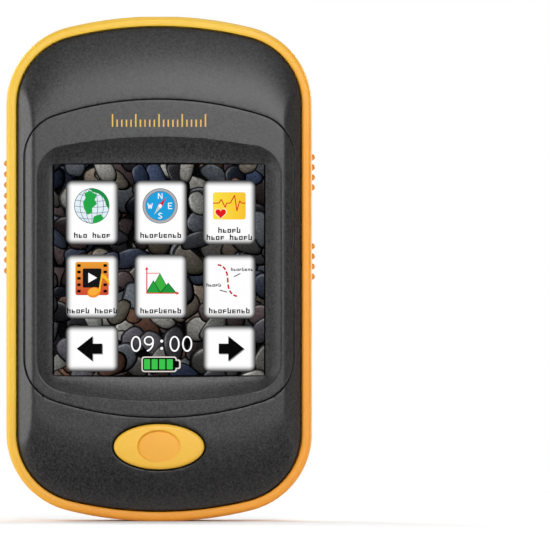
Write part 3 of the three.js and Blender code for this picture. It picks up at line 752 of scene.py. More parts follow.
def front_shell():
    """A thin wall under the face, with a ledge that the bezel lies on and a skirt down to the split."""
    display_hole = rectangle(-PANEL.x1 - FIT, PANEL.x1 + FIT, PANEL.y0 - FIT, PANEL.y1 + FIT, 0.5)

    def underside(x, y):
        beyond_ledge = np.clip(BEZEL_OPENING.distance(x, y) - 1.2, 0, 1)
        ceiling = LEDGE_UNDERSIDE + (face_height(x, y) - SHELL_WALL - LEDGE_UNDERSIDE) * beyond_ledge
        return np.where(SHELL_OUTLINE.distance(x, y) > -SKIRT, SHELL.z0, ceiling)

    cuts = [Cut(BEZEL_OPENING, LEDGE_TOP, edge=0.12), Cut(display_hole, edge=0), Cut(BUTTON_HOLE, edge=0.3)]
    lines = [SHELL_OUTLINE.ring(-d) for d in (SKIRT - 0.05, SKIRT + 0.05)]
    solid = plate(SHELL_OUTLINE, face_height, underside, cuts, edge=0.35, lines=lines)
    shell = add_piece("front_shell_skin", solid, "housing", "shell", "front_shell")
    cutters = [through_side(PORT, PORT_Z, [(0, -x) for x in SHELL_SIDE[::-1]])]
    for name in ("upper_side_key", "lower_side_key"):
        key = FaceBox(name)
        stem_hole = Ellipse(0, key.mid_y, STEM_HOLE_RADIUS, STEM_HOLE_RADIUS)
        cutters.append(through_side(stem_hole, key.mid_z, [(0, x) for x in SHELL_SIDE]))
    subtract(shell, cutters)


def screen_bezel():
    """A thin frame that slopes to the window, with a pocket behind for the glass."""
    pocket = rectangle(-GLASS.x1 - 0.2, GLASS.x1 + 0.2, GLASS.y0 - 0.2, GLASS.y1 + 0.2, 0.5)

    def underside(x, y):
        beside = np.clip(pocket.distance(x, y) / 0.1, 0, 1)
        return (GLASS.z1 + 0.15) * (1 - beside) + BEZEL.z0 * beside

    lines = [RECESS.ring(d) for d in (-0.3, -0.12, 0.0, 0.12, 0.3)]
    lines += [pocket.ring(d) for d in (0.0, 0.1)]
    solid = plate(BEZEL_OUTLINE, bezel_height, underside, [Cut(WINDOW, edge=0.12)],
                  edge=0.12, pitch=0.45, lines=lines)
    add_piece("screen_bezel_skin", solid, "housing", "shell", "screen_bezel")


def bumper_band():
    """A ring with round outer edges, an inner chamfer, a lip that grips the shells, and side windows."""
    front, rear, surface = BAND.z1, BAND.z0, BAND.x1
    quarter = np.radians(np.linspace(0, 90, 9))
    grip = SHELL_INSET - 0.01
    profile = [(BAND_THICKNESS, rear + 0.3), (BAND_THICKNESS - 0.2, rear + 0.05), (1.2, rear)]
    profile += [(1.0 * (1 - math.sin(a)), rear + 1.8 * (1 - math.cos(a))) for a in quarter]
    profile += [(0, rear + 2.0), (0, (rear + front) / 2), (0, front - 1.7)]
    profile += [(0.85 * (1 - math.cos(a)), front - 1.4 * (1 - math.sin(a))) for a in quarter]
    profile += [(1.55, front), (1.65, front - 0.03), (BAND_THICKNESS, front - 0.26)]
    profile += [(BAND_THICKNESS, front - 2.4), (grip, front - 2.65), (grip, rear + 1.25)]
    profile += [(BAND_THICKNESS, rear + 1.0)]
    rings = []
    for d, z in profile:
        ring = RIM.ring(-d, 0.7)
        ring[:, 1] = np.clip(ring[:, 1], BAND.y0, BAND.y1)
        rings.append(level(ring, z))
    band = add_piece("bumper_band_skin", loft(rings, closed=True), "housing", "band", "bumper_band")
    levels = ((0, surface - 3.5), (0, surface - 0.22), (0.34, surface + 0.12), (0.34, surface + 1.0))
    cutters = []
    for node, side, corner, below in (("upper_side_key", 1, 1.3, FIT), ("lower_side_key", 1, 1.3, FIT),
                                      ("port_cover", -1, 0.7, 0.8)):
        box = FaceBox(node)
        half = (box.z1 - box.z0) / 2 + FIT
        window = rectangle(-half, half, box.y0 - below, box.y1 + FIT, corner)
        cutters.append(through_side(window, box.mid_z, [(d, x * side) for d, x in levels]))
    subtract(band, cutters)
    band.data.shade_smooth()
    band.data.set_sharp_from_angle(angle=math.radians(30))


def main_button():
    """An oval cap that follows the face, with a dish for the thumb that is deepest towards the upper left."""
    dish = BUTTON_DISH

    def top(x, y):
        wall = np.clip(-dish.distance(x, y) / 0.5, 0, 1)
        toward_light = (x - dish.mid_x) / dish.a - (y - dish.mid_y) / dish.b
        depth = np.clip(0.5 - 0.28 * toward_light, 0.15, 0.9)
        return np.minimum(BUTTON.z1, face_height(x, y) + 0.5) - depth * wall * wall * (3 - 2 * wall)

    lines = [dish.ring(d, 0.35) for d in (-1.0, -0.6, -0.5, -0.4, -0.3, -0.2, -0.1, 0.0)]
    solid = plate(BUTTON_OUTLINE, top, constant(8.6), edge=0.7, pitch=0.35, lines=lines)
    add_piece("main_button_cap", solid, "main_button", "accent", "main_button", material=AMBER_BUTTON)


def rib_height(v, u, mids):
    """Capsule ribs across a pad: how far they stand up from its face."""
    along = np.maximum(np.abs(u) - (RIB_REACH - RIB_RADIUS), 0)
    height = np.zeros(np.shape(u))
    for mid in mids:
        height = np.maximum(height, np.sqrt(np.maximum(RIB_RADIUS ** 2 - (v - mid) ** 2 - along ** 2, 0)))
    return height


def ribbed_pad(box, mids, corner, inner):
    """A pad in a side frame, with u measured from the middle of its depth."""
    half = (box.z1 - box.z0) / 2

    def outer(u, v):
        return BAND.x1 + rib_height(v, u, mids)

    lines = [Slot(0, m, RIB_REACH + d, RIB_RADIUS + d).ring(0, 0.3) for m in mids for d in (-0.08, 0.02)]
    return plate(rectangle(-half, half, box.y0, box.y1, corner), outer, inner,
                 edge=0.4, pitch=0.22, lines=lines, step=0.3)


def rib_mids(middle, count, pitch):
    return [middle + (i - (count - 1) / 2) * pitch for i in range(count)]


def side_keys():
    """Ribbed pads, each on a round stem that goes through the shell."""
    for name in ("upper", "lower"):
        box = FaceBox(f"{name}_side_key")
        mids = rib_mids(box.mid_y, KEY_RIBS, KEY_RIB_PITCH)
        pad = moved(ribbed_pad(box, mids, 1.1, constant(KEY_INNER)), (-box.mid_z, 0, 0))
        stem = turned([(STEM_RADIUS, box.x0), (STEM_RADIUS, KEY_INNER + 0.05)], -box.mid_z, box.mid_y, 20)
        add_piece(f"{name}_key_cap", joined(pad, stem), f"{name}_key", "accent", f"{name}_side_key", TO_RIGHT)


def port_cover():
    """A long ribbed cover with a plug behind it, rounded at the hinge end."""
    def inner(u, v):
        plug_in = np.clip(-PORT_PLUG.distance(u, v) / 0.08, 0, 1)
        return COVER_INNER + fillet(v - COVER.y0, 0.85) - PLUG_DEPTH * plug_in

    pad = ribbed_pad(COVER, rib_mids(COVER_RIBS_Y, COVER_RIBS, COVER_RIB_PITCH), 0.6, inner)
    pad = moved(pad, (COVER.mid_z, 0, 0))
    add_piece("port_cover_skin", pad, "port_cover", "accent", "port_cover", TO_LEFT)


# ---------------------------------------------------------------- rear

def door_outline(grow, corner):
    """The door's outline, square at the hinge end, or its recess where it is grown."""
    shape = rectangle(-DOOR.x1 - grow, DOOR.x1 + grow, DOOR.y0 - grow, DOOR.y1 + 4, corner)
    return Clipped(shape, HINGE_END + grow)


def rear_case():
    """The rear shell: recesses for the door, the bay, the screws, the speaker and the lanyard's notch."""
    cuts = [Cut(door_outline(FIT, 4.2), DOOR_FLOOR, edge=0.25), Cut(BAY, BAY_FLOOR, edge=0.15)]
    cuts += [Cut(Ellipse(x, y, SCREW_WELL_RADIUS, SCREW_WELL_RADIUS), SCREW_WELL_FLOOR, edge=0.2, step=0.4)
             for x in (-SCREW_X, SCREW_X) for y in SCREW_YS]
    cuts += [Cut(Slot(0, SPEAKER_Y + row * SPEAKER_PITCH, half, 0.45), SPEAKER_FLOOR, edge=0.12, step=0.4)
             for half, row in ((3, -2), (5, -1), (6, 0), (5, 1), (3, 2))]
    cuts.append(Cut(LANYARD_NOTCH, REAR_SHOULDER, edge=0.3))
    rounds = [REAR_EDGE * share for share in (0, 0.012, 0.04, 0.09, 0.16, 0.26, 0.4, 0.58, 0.8, 1.0)]
    solid = plate(SHELL_OUTLINE, rear_height, constant(-REAR.z1), cuts, edge=0, pitch=0.6,
                  outer_steps=rounds, step=0.6)
    case = add_piece("rear_case_skin", solid, "housing", "shell", "rear_case", TO_REAR)
    half = HOOK_HALF_WIDTH + HOOK_GAP
    rooms = [slab(x - half, x + half, *HOOK_ROOM_SPAN, 0.1) for x in HOOK_XS]
    rooms.append(slab(-LATCH_ROOM_HALF_WIDTH, LATCH_ROOM_HALF_WIDTH, *LATCH_ROOM_SPAN, 0.1))
    subtract(case, [make_object("cutter", room) for room in rooms])


def battery_door():
    """A flat door with a bowl for the latch, finger grooves, a rounded hinge end and two hooks."""
    face, x, y = -DOOR.z0, KNOB.mid_x, KNOB.mid_y
    boss, bowl, bore = (Ellipse(x, y, radius, radius) for radius in (LATCH_BOSS, LATCH_BOWL, LATCH_BORE))

    def top(u, v):
        return face - fillet(HINGE_END - v, HINGE_ROUND)

    def bottom(u, v):
        behind_boss = np.clip(-boss.distance(u, v) / 0.1, 0, 1)
        return DOOR_INNER + fillet(HINGE_END - v, HINGE_ROUND) - 1.3 * behind_boss

    cuts = [Cut(bowl, 10.0, edge=0.3, step=0.4), Cut(bore, edge=0.1, step=0.3)]
    cuts += [Cut(Slot(0, 66.4 + i * 1.8, 9, 0.4), face - 0.4, edge=0.15) for i in range(5)]
    lines = [boss.ring(d) for d in (0.0, -0.1)]
    lines += [np.array([[-18.0, HINGE_END - d], [18.0, HINGE_END - d]]) for d in (0.9, 0.6, 0.35, 0.15)]
    solid = plate(door_outline(0, 4), top, bottom, cuts, pitch=0.6, lines=lines)
    hooks = [slab(mid - HOOK_HALF_WIDTH, mid + HOOK_HALF_WIDTH, *HOOK_SPAN, 0.15) for mid in HOOK_XS]
    add_piece("battery_door_skin", joined(solid, *hooks), "battery_door", "shell", "battery_door", TO_REAR)


def latch_knob():
    """A turned knob with a knurled rim."""
    face, rim = KNOB.z0, KNOB.x1
    grip = rim - 0.09 + 0.09 * np.cos(30 * circle(180))
    profile = [(0.9, -7.3), (1.5, -7.3), (1.5, -8.6), (2.4, -8.7), (2.4, -10.1), (rim - 0.3, -10.15),
               (grip, -10.35), (grip, face + 0.4), (rim - 0.35, face + 0.08), (rim - 0.8, face),
               (2.5, face), (2.3, face + 0.12), (1.0, face + 0.22)]
    knob = turned(profile, KNOB.mid_x, KNOB.mid_y, 180)
    add_piece("latch_knob_turned", knob, "latch", "steel", "latch_knob")


def latch_ring():
    """A bow of round wire, closed by a bar through the knob."""
    bow, wire, bar_z = 5.9, 0.5, -11.0
    bar = [(s * 1.2, 0) for s in range(-4, 5)]
    turn = arc(0.87, 0.87, 90, -8, 8, 5.03, -0.87)
    path = np.concatenate([bar, turn, arc(bow, bow, -14, -166, 40), turn[::-1] * [-1, 1]])
    side = normals(path, closed=True) * wire
    rings = [level(path + side * math.cos(a) + [KNOB.mid_x, KNOB.mid_y], bar_z + wire * math.sin(a))
             for a in circle(12)]
    add_piece("latch_ring_wire", loft(rings, closed=True), "latch_ring", "steel", "latch_ring")


def case_screws():
    """Button heads with a hexagon socket."""
    hexagon = 1 / np.cos((circle(60) + math.pi / 6) % (math.pi / 3) - math.pi / 6)
    for i in range(1, 5):
        box = FaceBox(f"case_screw_{i}")
        head = box.z0
        profile = [(1.0, box.z1), (1.0, head + 1.5), (2.0, head + 1.5), (2.0, head + 0.35), (1.9, head + 0.1),
                   (1.7, head), (1.02 * hexagon, head), (0.96 * hexagon, head + 0.06),
                   (0.96 * hexagon, head + 0.9)]
        add_piece(f"case_screw_{i}_turned", turned(profile, box.mid_x, box.mid_y, 60), "housing", "steel",
                  f"case_screw_{i}")


def lanyard_pin():
    """A pin across the notch, a little thinner in the middle."""
    box = FaceBox("lanyard_pin")
    radius = (box.y1 - box.y0) / 2
    profile = [(radius - 0.15, box.x0), (radius, box.x0 + 0.15), (radius, -3.2), (radius - 0.12, -2.6),
               (radius - 0.12, 2.6), (radius, 3.2), (radius, box.x1 - 0.15), (radius - 0.15, box.x1)]
    add_piece("lanyard_pin_turned", turned(profile, -box.mid_z, box.mid_y, 32), "housing", "steel",
              "lanyard_pin", TO_RIGHT)


# ---------------------------------------------------------------- screen

# The picture's black border: print on the panel, and also painted shade along the window's edge.
BORDER = 0.32
PICTURE_REACH = np.array([WINDOW.half_width, WINDOW.half_height]) - BORDER
PICTURE_LOW, PICTURE_HIGH = [0, WINDOW.mid_y] - PICTURE_REACH, [0, WINDOW.mid_y] + PICTURE_REACH
BLACK, WHITE = srgb(8, 8, 8), srgb(255, 255, 255)
RED, GREEN, BLUE = srgb(214, 42, 38), srgb(38, 166, 74), srgb(36, 160, 222)
STONES = ((58, 68, 92), (104, 98, 88), (74, 62, 64), (138, 138, 134), (84, 88, 94), (50, 56, 70),
          (120, 108, 98), (76, 74, 80), (156, 154, 148), (96, 70, 58))
# A pebble's rings, from the gap round it in: the size, and the light on its rim, its body and its slope.
PEBBLE_RINGS = ((1.14, 0.0, 0.0, 0.0), (1.0, 0.15, 0.1, 0.1), (0.95, 1.0, 0.5, 0.35),
                (0.88, 0.55, 0.65, 0.4), (0.78, 0.12, 0.75, 0.35), (0.4, 0.0, 0.85, 0.2))


def rotated(points, angle):
    c, s = math.cos(angle), math.sin(angle)
    return points @ np.array([[c, s], [-s, c]])


class Canvas:
    """Flat coloured shapes for a mesh, each in front of the one before, about a middle that can move."""

    def __init__(self, base_z, lift):
        self.base_z, self.lift = base_z, lift
        self.vertices, self.faces, self.colours = [], [], []
        self.start_at(0, 0)

    def start_at(self, x, y):
        """Starts again in the first layer, for a group of shapes that stands clear of the others."""
        self.x, self.y, self.z = x, y, self.base_z

    def add(self, points, colours, faces):
        start = len(self.vertices)
        self.vertices += [(self.x + px, self.y + py, self.z) for px, py in points]
        self.colours += colours
        self.faces += [tuple(start + i for i in f) for f in faces]
        self.z += self.lift

    def polygon(self, points, colour):
        """One face, in one colour or with a colour for each point."""
        colours = colour if isinstance(colour, list) else [colour] * len(points)
        self.add(points, colours, [range(len(points))])

    def nest(self, rings, colours):
        """Rings of equally many points, from the outermost in, with a colour for each point."""
        count, levels = len(rings[0]), len(rings)
        innermost = range((levels - 1) * count, levels * count)
        self.add(np.concatenate(rings), colours, quads(count, levels) + [innermost])

    def disc(self, x, y, rx, colour, ry=None, turn=0.0):
        self.polygon(rotated(on_ellipse(0, 0, rx, ry or rx, circle(40)), turn) + [x, y], colour)

    def stroke(self, points, width, colour, closed=False):
        path = np.array(points, float)
        side, count = normals(path, closed) * width / 2, len(path)
        faces = [(i, (i + 1) % count, count + (i + 1) % count, count + i)
                 for i in range(count if closed else count - 1)]
        self.add(np.concatenate([path + side, path - side]), [colour] * 2 * count, faces)

    def segments(self, points, width, colour):
        """A line with square corners: one straight stroke for each pair of points."""
        for pair in zip(points, points[1:]):
            self.stroke(pair, width, colour)

    def bar(self, x0, x1, y0, y1, colour, corner=0.2):
        corner = min(corner, (y1 - y0) / 2 - 0.01, (x1 - x0) / 2 - 0.01)
        self.polygon(rectangle(x0, x1, y0, y1, corner).ring(0, 3.0), colour)

    def finish(self, name, material, to_face=TO_FRONT):
        mesh = raw_mesh(name, self.vertices, self.faces, to_face)
        tone = mesh.color_attributes.new("tone", "FLOAT_COLOR", "POINT")
        tone.data.foreach_set("color", np.array(self.colours, np.float32).ravel())
        add_print(name, mesh, material)


def pebble(rng, x, y):
    """One stone: rings of points from the dark gap round it in, each with its shade, lit on one side."""
    stone, shade = srgb(*rng.choice(STONES)), rng.uniform(0.25, 1.15) ** 1.5
    rx, ry = rng.uniform(1.7, 3.6), rng.uniform(1.2, 2.5)
    turn, power = rng.uniform(0, math.pi), rng.uniform(2.0, 2.7)
    lit_from, sheen = math.radians(rng.uniform(80, 170)), rng.uniform(0.2, 1.0)
    t = circle(36)
    wobble = 1 + 0.05 * np.cos(3 * t + rng.uniform(0, 6)) + 0.03 * np.cos(5 * t + rng.uniform(0, 6))
    wave = on_ellipse(0, 0, 1, 1, t)
    outline = np.sign(wave) * np.abs(wave) ** (2 / power) * wobble[:, None] * [rx, ry]
    outline = rotated(outline, turn)
    toward = np.cos(np.arctan2(outline[:, 1], outline[:, 0]) - lit_from)
    rings, colours = [], []
    for grow, rim, body, slope in PEBBLE_RINGS:
        rings.append(np.clip(outline * grow + [x, y], PICTURE_LOW, PICTURE_HIGH))
        for facing in toward:
            edge_light = rim * sheen * max(0.0, facing) ** 3
            light = shade * (body + slope * facing) + 0.9 * edge_light
            tone = [min(1.0, max(0.0, k * light) + 0.16 * edge_light) for k in stone[:3]]
            colours.append((*tone, 1.0))
    return rings, colours


def wallpaper():
    """A heap of river pebbles inside the display's black border, which is print on the panel and also painted
    shade at the window's edge.
    """
    rng = random.Random(11)
    canvas = Canvas(PANEL.z1 + 0.02, 0.0012)
    # Black under the pebbles: their gaps, and the border round them that is partly painted shade.
    canvas.bar(-21.8, 21.8, WINDOW.mid_y - 22, WINDOW.mid_y + 22, srgb(6, 6, 7))
    spots = [(i * 3.5 + rng.uniform(-1.5, 1.5), WINDOW.mid_y + j * 3.0 + rng.uniform(-1.3, 1.3))
             for i in range(-6, 7) for j in range(-7, 8)]
    rng.shuffle(spots)
    for x, y in spots:
        canvas.nest(*pebble(rng, x, y))
    canvas.finish("display_wallpaper", lit_picture("lit_wallpaper", 0.55))


def tile(canvas, half_width, half_height):
    """A white tile whose edge fades to grey."""
    shape = rectangle(-half_width, half_width, -half_height, half_height, 1.3)
    fades = ((0.0, 0.2), (0.2, 0.4), (0.42, 0.6), (0.7, 0.82), (1.0, 0.95), (1.3, 1.0))
    rings = [shape.ring(-d, 3.0) for d, _ in fades]
    canvas.nest(rings, [srgb(*(255 * g,) * 3) for _, g in fades for _ in rings[0]])


def label(canvas, x, y, words, pitch=0.92):
    """A caption too small to read: for each character three or four short strokes, some of them tall."""
    at = x - (sum(words) + len(words) - 1) * pitch / 2
    size = pitch / 0.92
    low, middle, high = y - 0.5 * size, y - 0.12 * size, y + 0.28 * size
    stem, bar = 0.24 * size, 0.19 * size
    for word in words:
        for i in range(word):
            left, right = at + 0.1 * size, at + pitch - 0.1 * size
            top = y + 0.62 * size if i % 4 == 0 else high
            strokes = [(left, left + stem, low, top)]
            if i % 3 != 1:
                strokes.append((left, right, high - bar, high))
            if i % 3 != 0:
                strokes.append((left, right, low, low + bar))
            if i % 2:
                strokes.append((left, right, middle - bar / 2, middle + bar / 2))
            else:
                strokes.append((right - stem, right, low, high))
            for stroke in strokes:
                canvas.bar(*stroke, BLACK, 0.04)
            at += pitch
        at += pitch


def globe(canvas):
    """A globe with a grid of thin lines and three lands."""
    r, coast_r, grid = 3.5, 3.45, srgb(88, 112, 128)
    canvas.disc(0, 0, r, srgb(60, 90, 100))
    canvas.disc(0, 0, r - 0.12, srgb(226, 240, 248))
    for k in (-0.66, -0.33, 0.0, 0.33, 0.66):
        half = r * math.sqrt(1 - k * k)
        canvas.stroke([(half * s, r * k - 0.28 * (1 - s * s)) for s in np.linspace(-1, 1, 13)], 0.1, grid)
        canvas.stroke(arc(r * abs(k) + 0.02, r, 90, 270 if k < 0 else -90), 0.1, grid)
    land = ((-0.42, 0.72), (-0.1, 0.86), (0.3, 0.62), (0.16, 0.34), (0.3, 0.12), (0.02, -0.12), (0.0, -0.4),
            (-0.24, -0.5), (-0.44, -0.16), (-0.5, 0.2), (-0.36, 0.44))
    canvas.polygon([(a * r, b * r) for a, b in land][::-1], GREEN)
    coast = [*arc(coast_r, coast_r, 100, -12, 18), *arc(r * 0.8, r * 0.78, 4, 84, 12)]
    canvas.polygon(coast[::-1], srgb(30, 140, 70))
    canvas.polygon([*arc(coast_r, coast_r, -88, -46, 8), (0.5 * r, -0.46 * r), (0.1 * r, -0.6 * r)], GREEN)


def compass(canvas):
    """A dial with its four letters, and a needle that points up and to the right."""
    for radius, tone in ((3.5, srgb(120, 122, 126)), (3.36, srgb(176, 178, 182)), (2.95, srgb(110, 120, 128)),
                         (2.85, BLUE)):
        canvas.disc(0, 0, radius, tone)
    w, h, ink = 0.37, 0.55, 0.17
    letters = {
        (0, 1.95): [(-w, -h), (-w, h), (w, -h), (w, h)],
        (2.0, 0): [(w, h), (-w, h), (-w, 0), (w * 0.7, 0), (-w, 0), (-w, -h), (w, -h)],
        (0, -1.95): [(w, h * 0.7), (0, h), (-w, h * 0.5), (0, 0), (w, -h * 0.5), (0, -h), (-w, -h * 0.7)],
        (-2.0, 0): [(-w * 1.2, h), (-w * 0.6, -h), (0, h * 0.5), (w * 0.6, -h), (w * 1.2, h)],
    }
    for (dx, dy), points in letters.items():
        canvas.segments([(dx + px, dy + py) for px, py in points], ink, WHITE)
    tip, side = np.array([1.25, 1.75]), np.array([0.33, -0.24])
    canvas.polygon([-side, side, tip], RED)
    canvas.polygon([side, -side, -tip], srgb(206, 206, 200))
    canvas.disc(0, 0, 0.36, WHITE)


def heart_card(canvas):
    """A yellow card with a pulse line and a small heart."""
    outline = rectangle(-3.25, 3.25, -2.7, 2.7, 0.5).ring(0, 3.0)
    canvas.polygon(outline, [srgb(250, 226 - 5 * (px + 3), 70 - 10 * (px + 3) / 3) for px, _ in outline])
    beat = [(-3.25, 0.55), (-2.05, 0.55), (-1.6, 1.3), (-0.8, -0.3), (-0.55, 0.55), (0.2, 0.55), (1.05, 2.1),
            (1.5, -1.0), (2.05, 1.0), (2.45, 0.55), (3.25, 0.55)]
    canvas.segments(beat, 0.2, RED)
    t = circle(40)
    heart = np.column_stack([16 * np.sin(t) ** 3,
                             13 * np.cos(t) - 5 * np.cos(2 * t) - 2 * np.cos(3 * t) - np.cos(4 * t)]) * 0.066
    for size, tone in ((1.18, srgb(255, 240, 200)), (1, srgb(226, 28, 34))):
        canvas.polygon(heart * size + [-1.7, -1.45], tone)


def film_note(canvas):
    """A strip of film with a play sign, and a music note in front of its foot."""
    outline = rectangle(-3.3, 3.3, -3.3, 3.3, 0.4).ring(0, 3.0)
    fall = (3.3 - outline[:, 1]) / 6
    canvas.polygon(outline, [srgb(236 - 28 * f, 160 - 80 * f, 52) for f in fall])
    for px in (-2.6, 2.6):
        for k in range(5):
            canvas.bar(px - 0.35, px + 0.35, 2.3 - k * 1.27, 2.85 - k * 1.27, BLACK, 0.12)
    canvas.bar(-1.85, 1.85, -1.8, 2.0, srgb(22, 22, 26), 0.25)
    canvas.polygon([(-0.75, -0.85), (1.0, 0.15), (-0.75, 1.15)], WHITE)
    canvas.disc(0.35, -2.75, 1.3, srgb(244, 140, 36), 1.02, 0.25)
    canvas.disc(0.25, -2.6, 1.0, srgb(250, 176, 60), 0.75, 0.25)
    canvas.polygon([(1.25, -2.6), (1.6, -2.6), (2.15, 0.9), (1.85, 1.15)], srgb(250, 190, 50))
    canvas.polygon([(1.85, 1.15), (2.1, 0.1), (2.9, -0.5), (3.55, -1.6), (3.4, -0.3), (2.7, 0.55)],
                   srgb(248, 184, 44))


def altimeter(canvas):
    """Three peaks between two axes with arrow heads, under a paler line."""
    base = -2.3
    for peak, half, height, tone in ((-0.15, 2.0, 3.9, srgb(62, 178, 62)),
                                     (-1.45, 1.35, 2.5, srgb(40, 160, 66)),
                                     (1.5, 1.5, 2.0, srgb(34, 148, 60))):
        outline = [(peak - half, base), (peak + half, base), (peak, base + height)]
        canvas.polygon([(px + d, py) for (px, py), d in zip(outline, (-0.12, 0.12, 0))], srgb(16, 78, 34))
        canvas.polygon([(px, py - 0.16) for px, py in outline], tone)
    canvas.stroke([(-2.75, base - 0.15), (-2.75, 2.4)], 0.22, RED)
    canvas.stroke([(-2.75, base - 0.1), (3.2, base - 0.1)], 0.2, RED)
    canvas.stroke([(-2.7, base + 3.85), (-0.2, base + 3.85)], 0.16, srgb(232, 110, 96))
    canvas.polygon([(-3.1, 2.25), (-2.4, 2.25), (-2.75, 2.85)], RED)
    canvas.polygon([(3.1, base - 0.45), (3.7, base - 0.1), (3.1, base + 0.25)], RED)


def route(canvas):
    """A dashed route with two pointers to it."""
    t = np.linspace(0, 1, 49)
    across = -2.3 + 4.0 * t + 0.55 * np.sin(2 * math.pi * t)
    path = np.column_stack([across, 3.1 - 6.2 * (3 * t ** 2 - 2 * t ** 3)])
    for k in range(7):
        canvas.stroke(path[k * 7:k * 7 + 6], 0.34, srgb(196, 38, 34))
    for pointer in (((0.9, 0.75), (2.2, 1.4)), ((-1.9, -1.9), (-0.4, -2.3))):
        canvas.stroke(pointer, 0.2, srgb(88, 92, 92))
    label(canvas, 2.5, 2.2, (8,), 0.56)
    label(canvas, -3.1, -0.9, (5,), 0.6)


def arrow(canvas, way):
    outline = [(-2.55, 0), (0.6, 2.5), (0.6, 1.0), (2.5, 1.0), (2.5, -1.0), (0.6, -1.0), (0.6, -2.5)]
    for tone, shift in ((srgb(150, 150, 150), 0.16), (BLACK, 0.0)):
        canvas.polygon([(shift - way * px, py - shift) for px, py in outline], tone)


def clock_and_battery(canvas):
    """The time in plain figures, over a battery gauge with four cells."""
    for width, colour in ((0.62, BLACK), (0.32, WHITE)):
        for figure, x in zip("0900", (-4.9, -2.35, 2.75, 5.25)):
            if figure == "0":
                canvas.stroke(arc(0.85, 1.42, 0, 352, 30, x), width, colour, closed=True)
            else:
                canvas.stroke(arc(0.85, 0.8, 0, 350, 26, x, 0.62), width, colour, closed=True)
                canvas.stroke(arc(1.6, 1.75, 8, -76, 12, x - 0.75, 0.3), width, colour)
    for y in (-0.9, 0.55):
        canvas.disc(0.2, y, 0.42, BLACK)
        canvas.disc(0.2, y, 0.3, WHITE)
    gauge_y, case = -4.05, srgb(222, 214, 206)
    for x0, x1, half, tone, corner in ((-3.8, 3.2, 1.55, case, 0.55), (2.6, 3.95, 0.95, case, 0.45),
                                       (-3.55, 2.95, 1.3, BLACK, 0.4), (2.5, 3.65, 0.7, BLACK, 0.3)):
        canvas.bar(x0, x1, gauge_y - half, gauge_y + half, tone, corner)
    for k in range(4):
        canvas.bar(k * 1.5 - 3.3, k * 1.5 - 2.1, gauge_y - 1.0, gauge_y + 1.0, srgb(58, 196, 78), 0.1)


def display():
    """Eight tiles in three columns over the wallpaper, with the clock between the lowest two."""
    left, middle, right = -13.3, 0.3, 13.9
    upper, lower, foot = WINDOW.mid_y + 11.4, WINDOW.mid_y - 3.3, WINDOW.mid_y - 15.6
    tall, low = 6.35, 4.55
    wallpaper()
    canvas = Canvas(PANEL.z1 + 0.29, 0.0025)
    tiles = (
        (left, upper, tall, globe, (-0.05, 1.3), [(4.55, (3, 4))]),
        (middle, upper, tall, compass, (-0.1, 1.3), [(4.55, (9,))]),
        (right, upper, tall, heart_card, (0, 1.3), [(3.55, (5,)), (4.95, (4, 5))]),
        (left, lower, tall, film_note, (0, 1.6), [(4.8, (5, 5))]),
        (middle, lower, tall, altimeter, (0, 1.1), [(4.8, (9,))]),
        (right, lower, tall, route, (0, 1.2), [(4.8, (9,))]),
        (left, foot, low, lambda c: arrow(c, -1), (-0.5, 0), []),
        (right, foot, low, lambda c: arrow(c, 1), (0.4, 0), []),
    )
    for x, y, half_height, draw, (dx, dy), captions in tiles:
        canvas.start_at(x, y)
        tile(canvas, 5.2, half_height)
        canvas.x, canvas.y = x + dx, y + dy
        draw(canvas)
        canvas.x, canvas.y = x, y
        for drop, words in captions:
            label(canvas, 0, -drop, words)
    canvas.start_at(middle, foot + 0.95)
    clock_and_battery(canvas)
    canvas.finish("display_picture", lit_picture("lit_picture"))


def cover_glass():
    pane = slab(GLASS.x0, GLASS.x1, GLASS.y0, GLASS.y1, GLASS.z0, GLASS.z1, 0.12, 1.0)
    add_piece("cover_glass_pane", pane, "housing", "glass", "touch_glass", sharp=12)


def battery_pack():
    """A flat pack in a shrink wrap, with an end cap for its contacts and a plain printed label."""
    box = FaceBox("battery_pack")
    cap_y = box.y1 - 3.0
    wrap = slab(box.x0, box.x1, box.y0, cap_y, box.z0, box.z1 - 0.05, 0.5, 1.6)
    add_piece("battery_pack_wrap", wrap, "housing", "battery_can", "battery_pack", sharp=50)
    cap = slab(box.x0 + 0.3, box.x1 - 0.3, cap_y - 0.6, box.y1, box.z0 + 0.25, box.z1 - 0.3, 0.3, 1.2)
    add_piece("battery_pack_cap", cap, "housing", "black_plastic")
    canvas = Canvas(-box.z0 + 0.02, 0.01)
    pale, dark = srgb(206, 210, 214), srgb(26, 34, 52)
    canvas.bar(-14.4, 14.4, box.y0 + 1.6, cap_y - 1.4, srgb(64, 88, 128), 0.8)
    for low in (cap_y - 6.2, box.y0 + 6.0):
        canvas.bar(-14.4, 14.4, low, low + 1.2, pale, 0.1)
    for k, width in enumerate((19, 22, 15, 21, 11)):
        canvas.bar(-11.5, -11.5 + width, 56 - k * 2.6, 56.9 - k * 2.6, pale, 0.3)
    for x, upright in ((-11, True), (11, False)):
        canvas.disc(x, cap_y - 3.2, 1.3, pale)
        canvas.bar(x - 0.8, x + 0.8, cap_y - 3.38, cap_y - 3.02, dark, 0.05)
        if upright:
            canvas.bar(x - 0.18, x + 0.18, cap_y - 4.0, cap_y - 2.4, dark, 0.05)
    canvas.finish("battery_label", printed("battery_print"), TO_REAR)


MARK_FOOT = 78.15
MARK_PITCH = 0.92
TICK_HALF_WIDTH = 0.14
PRINT_LIFT = 0.012


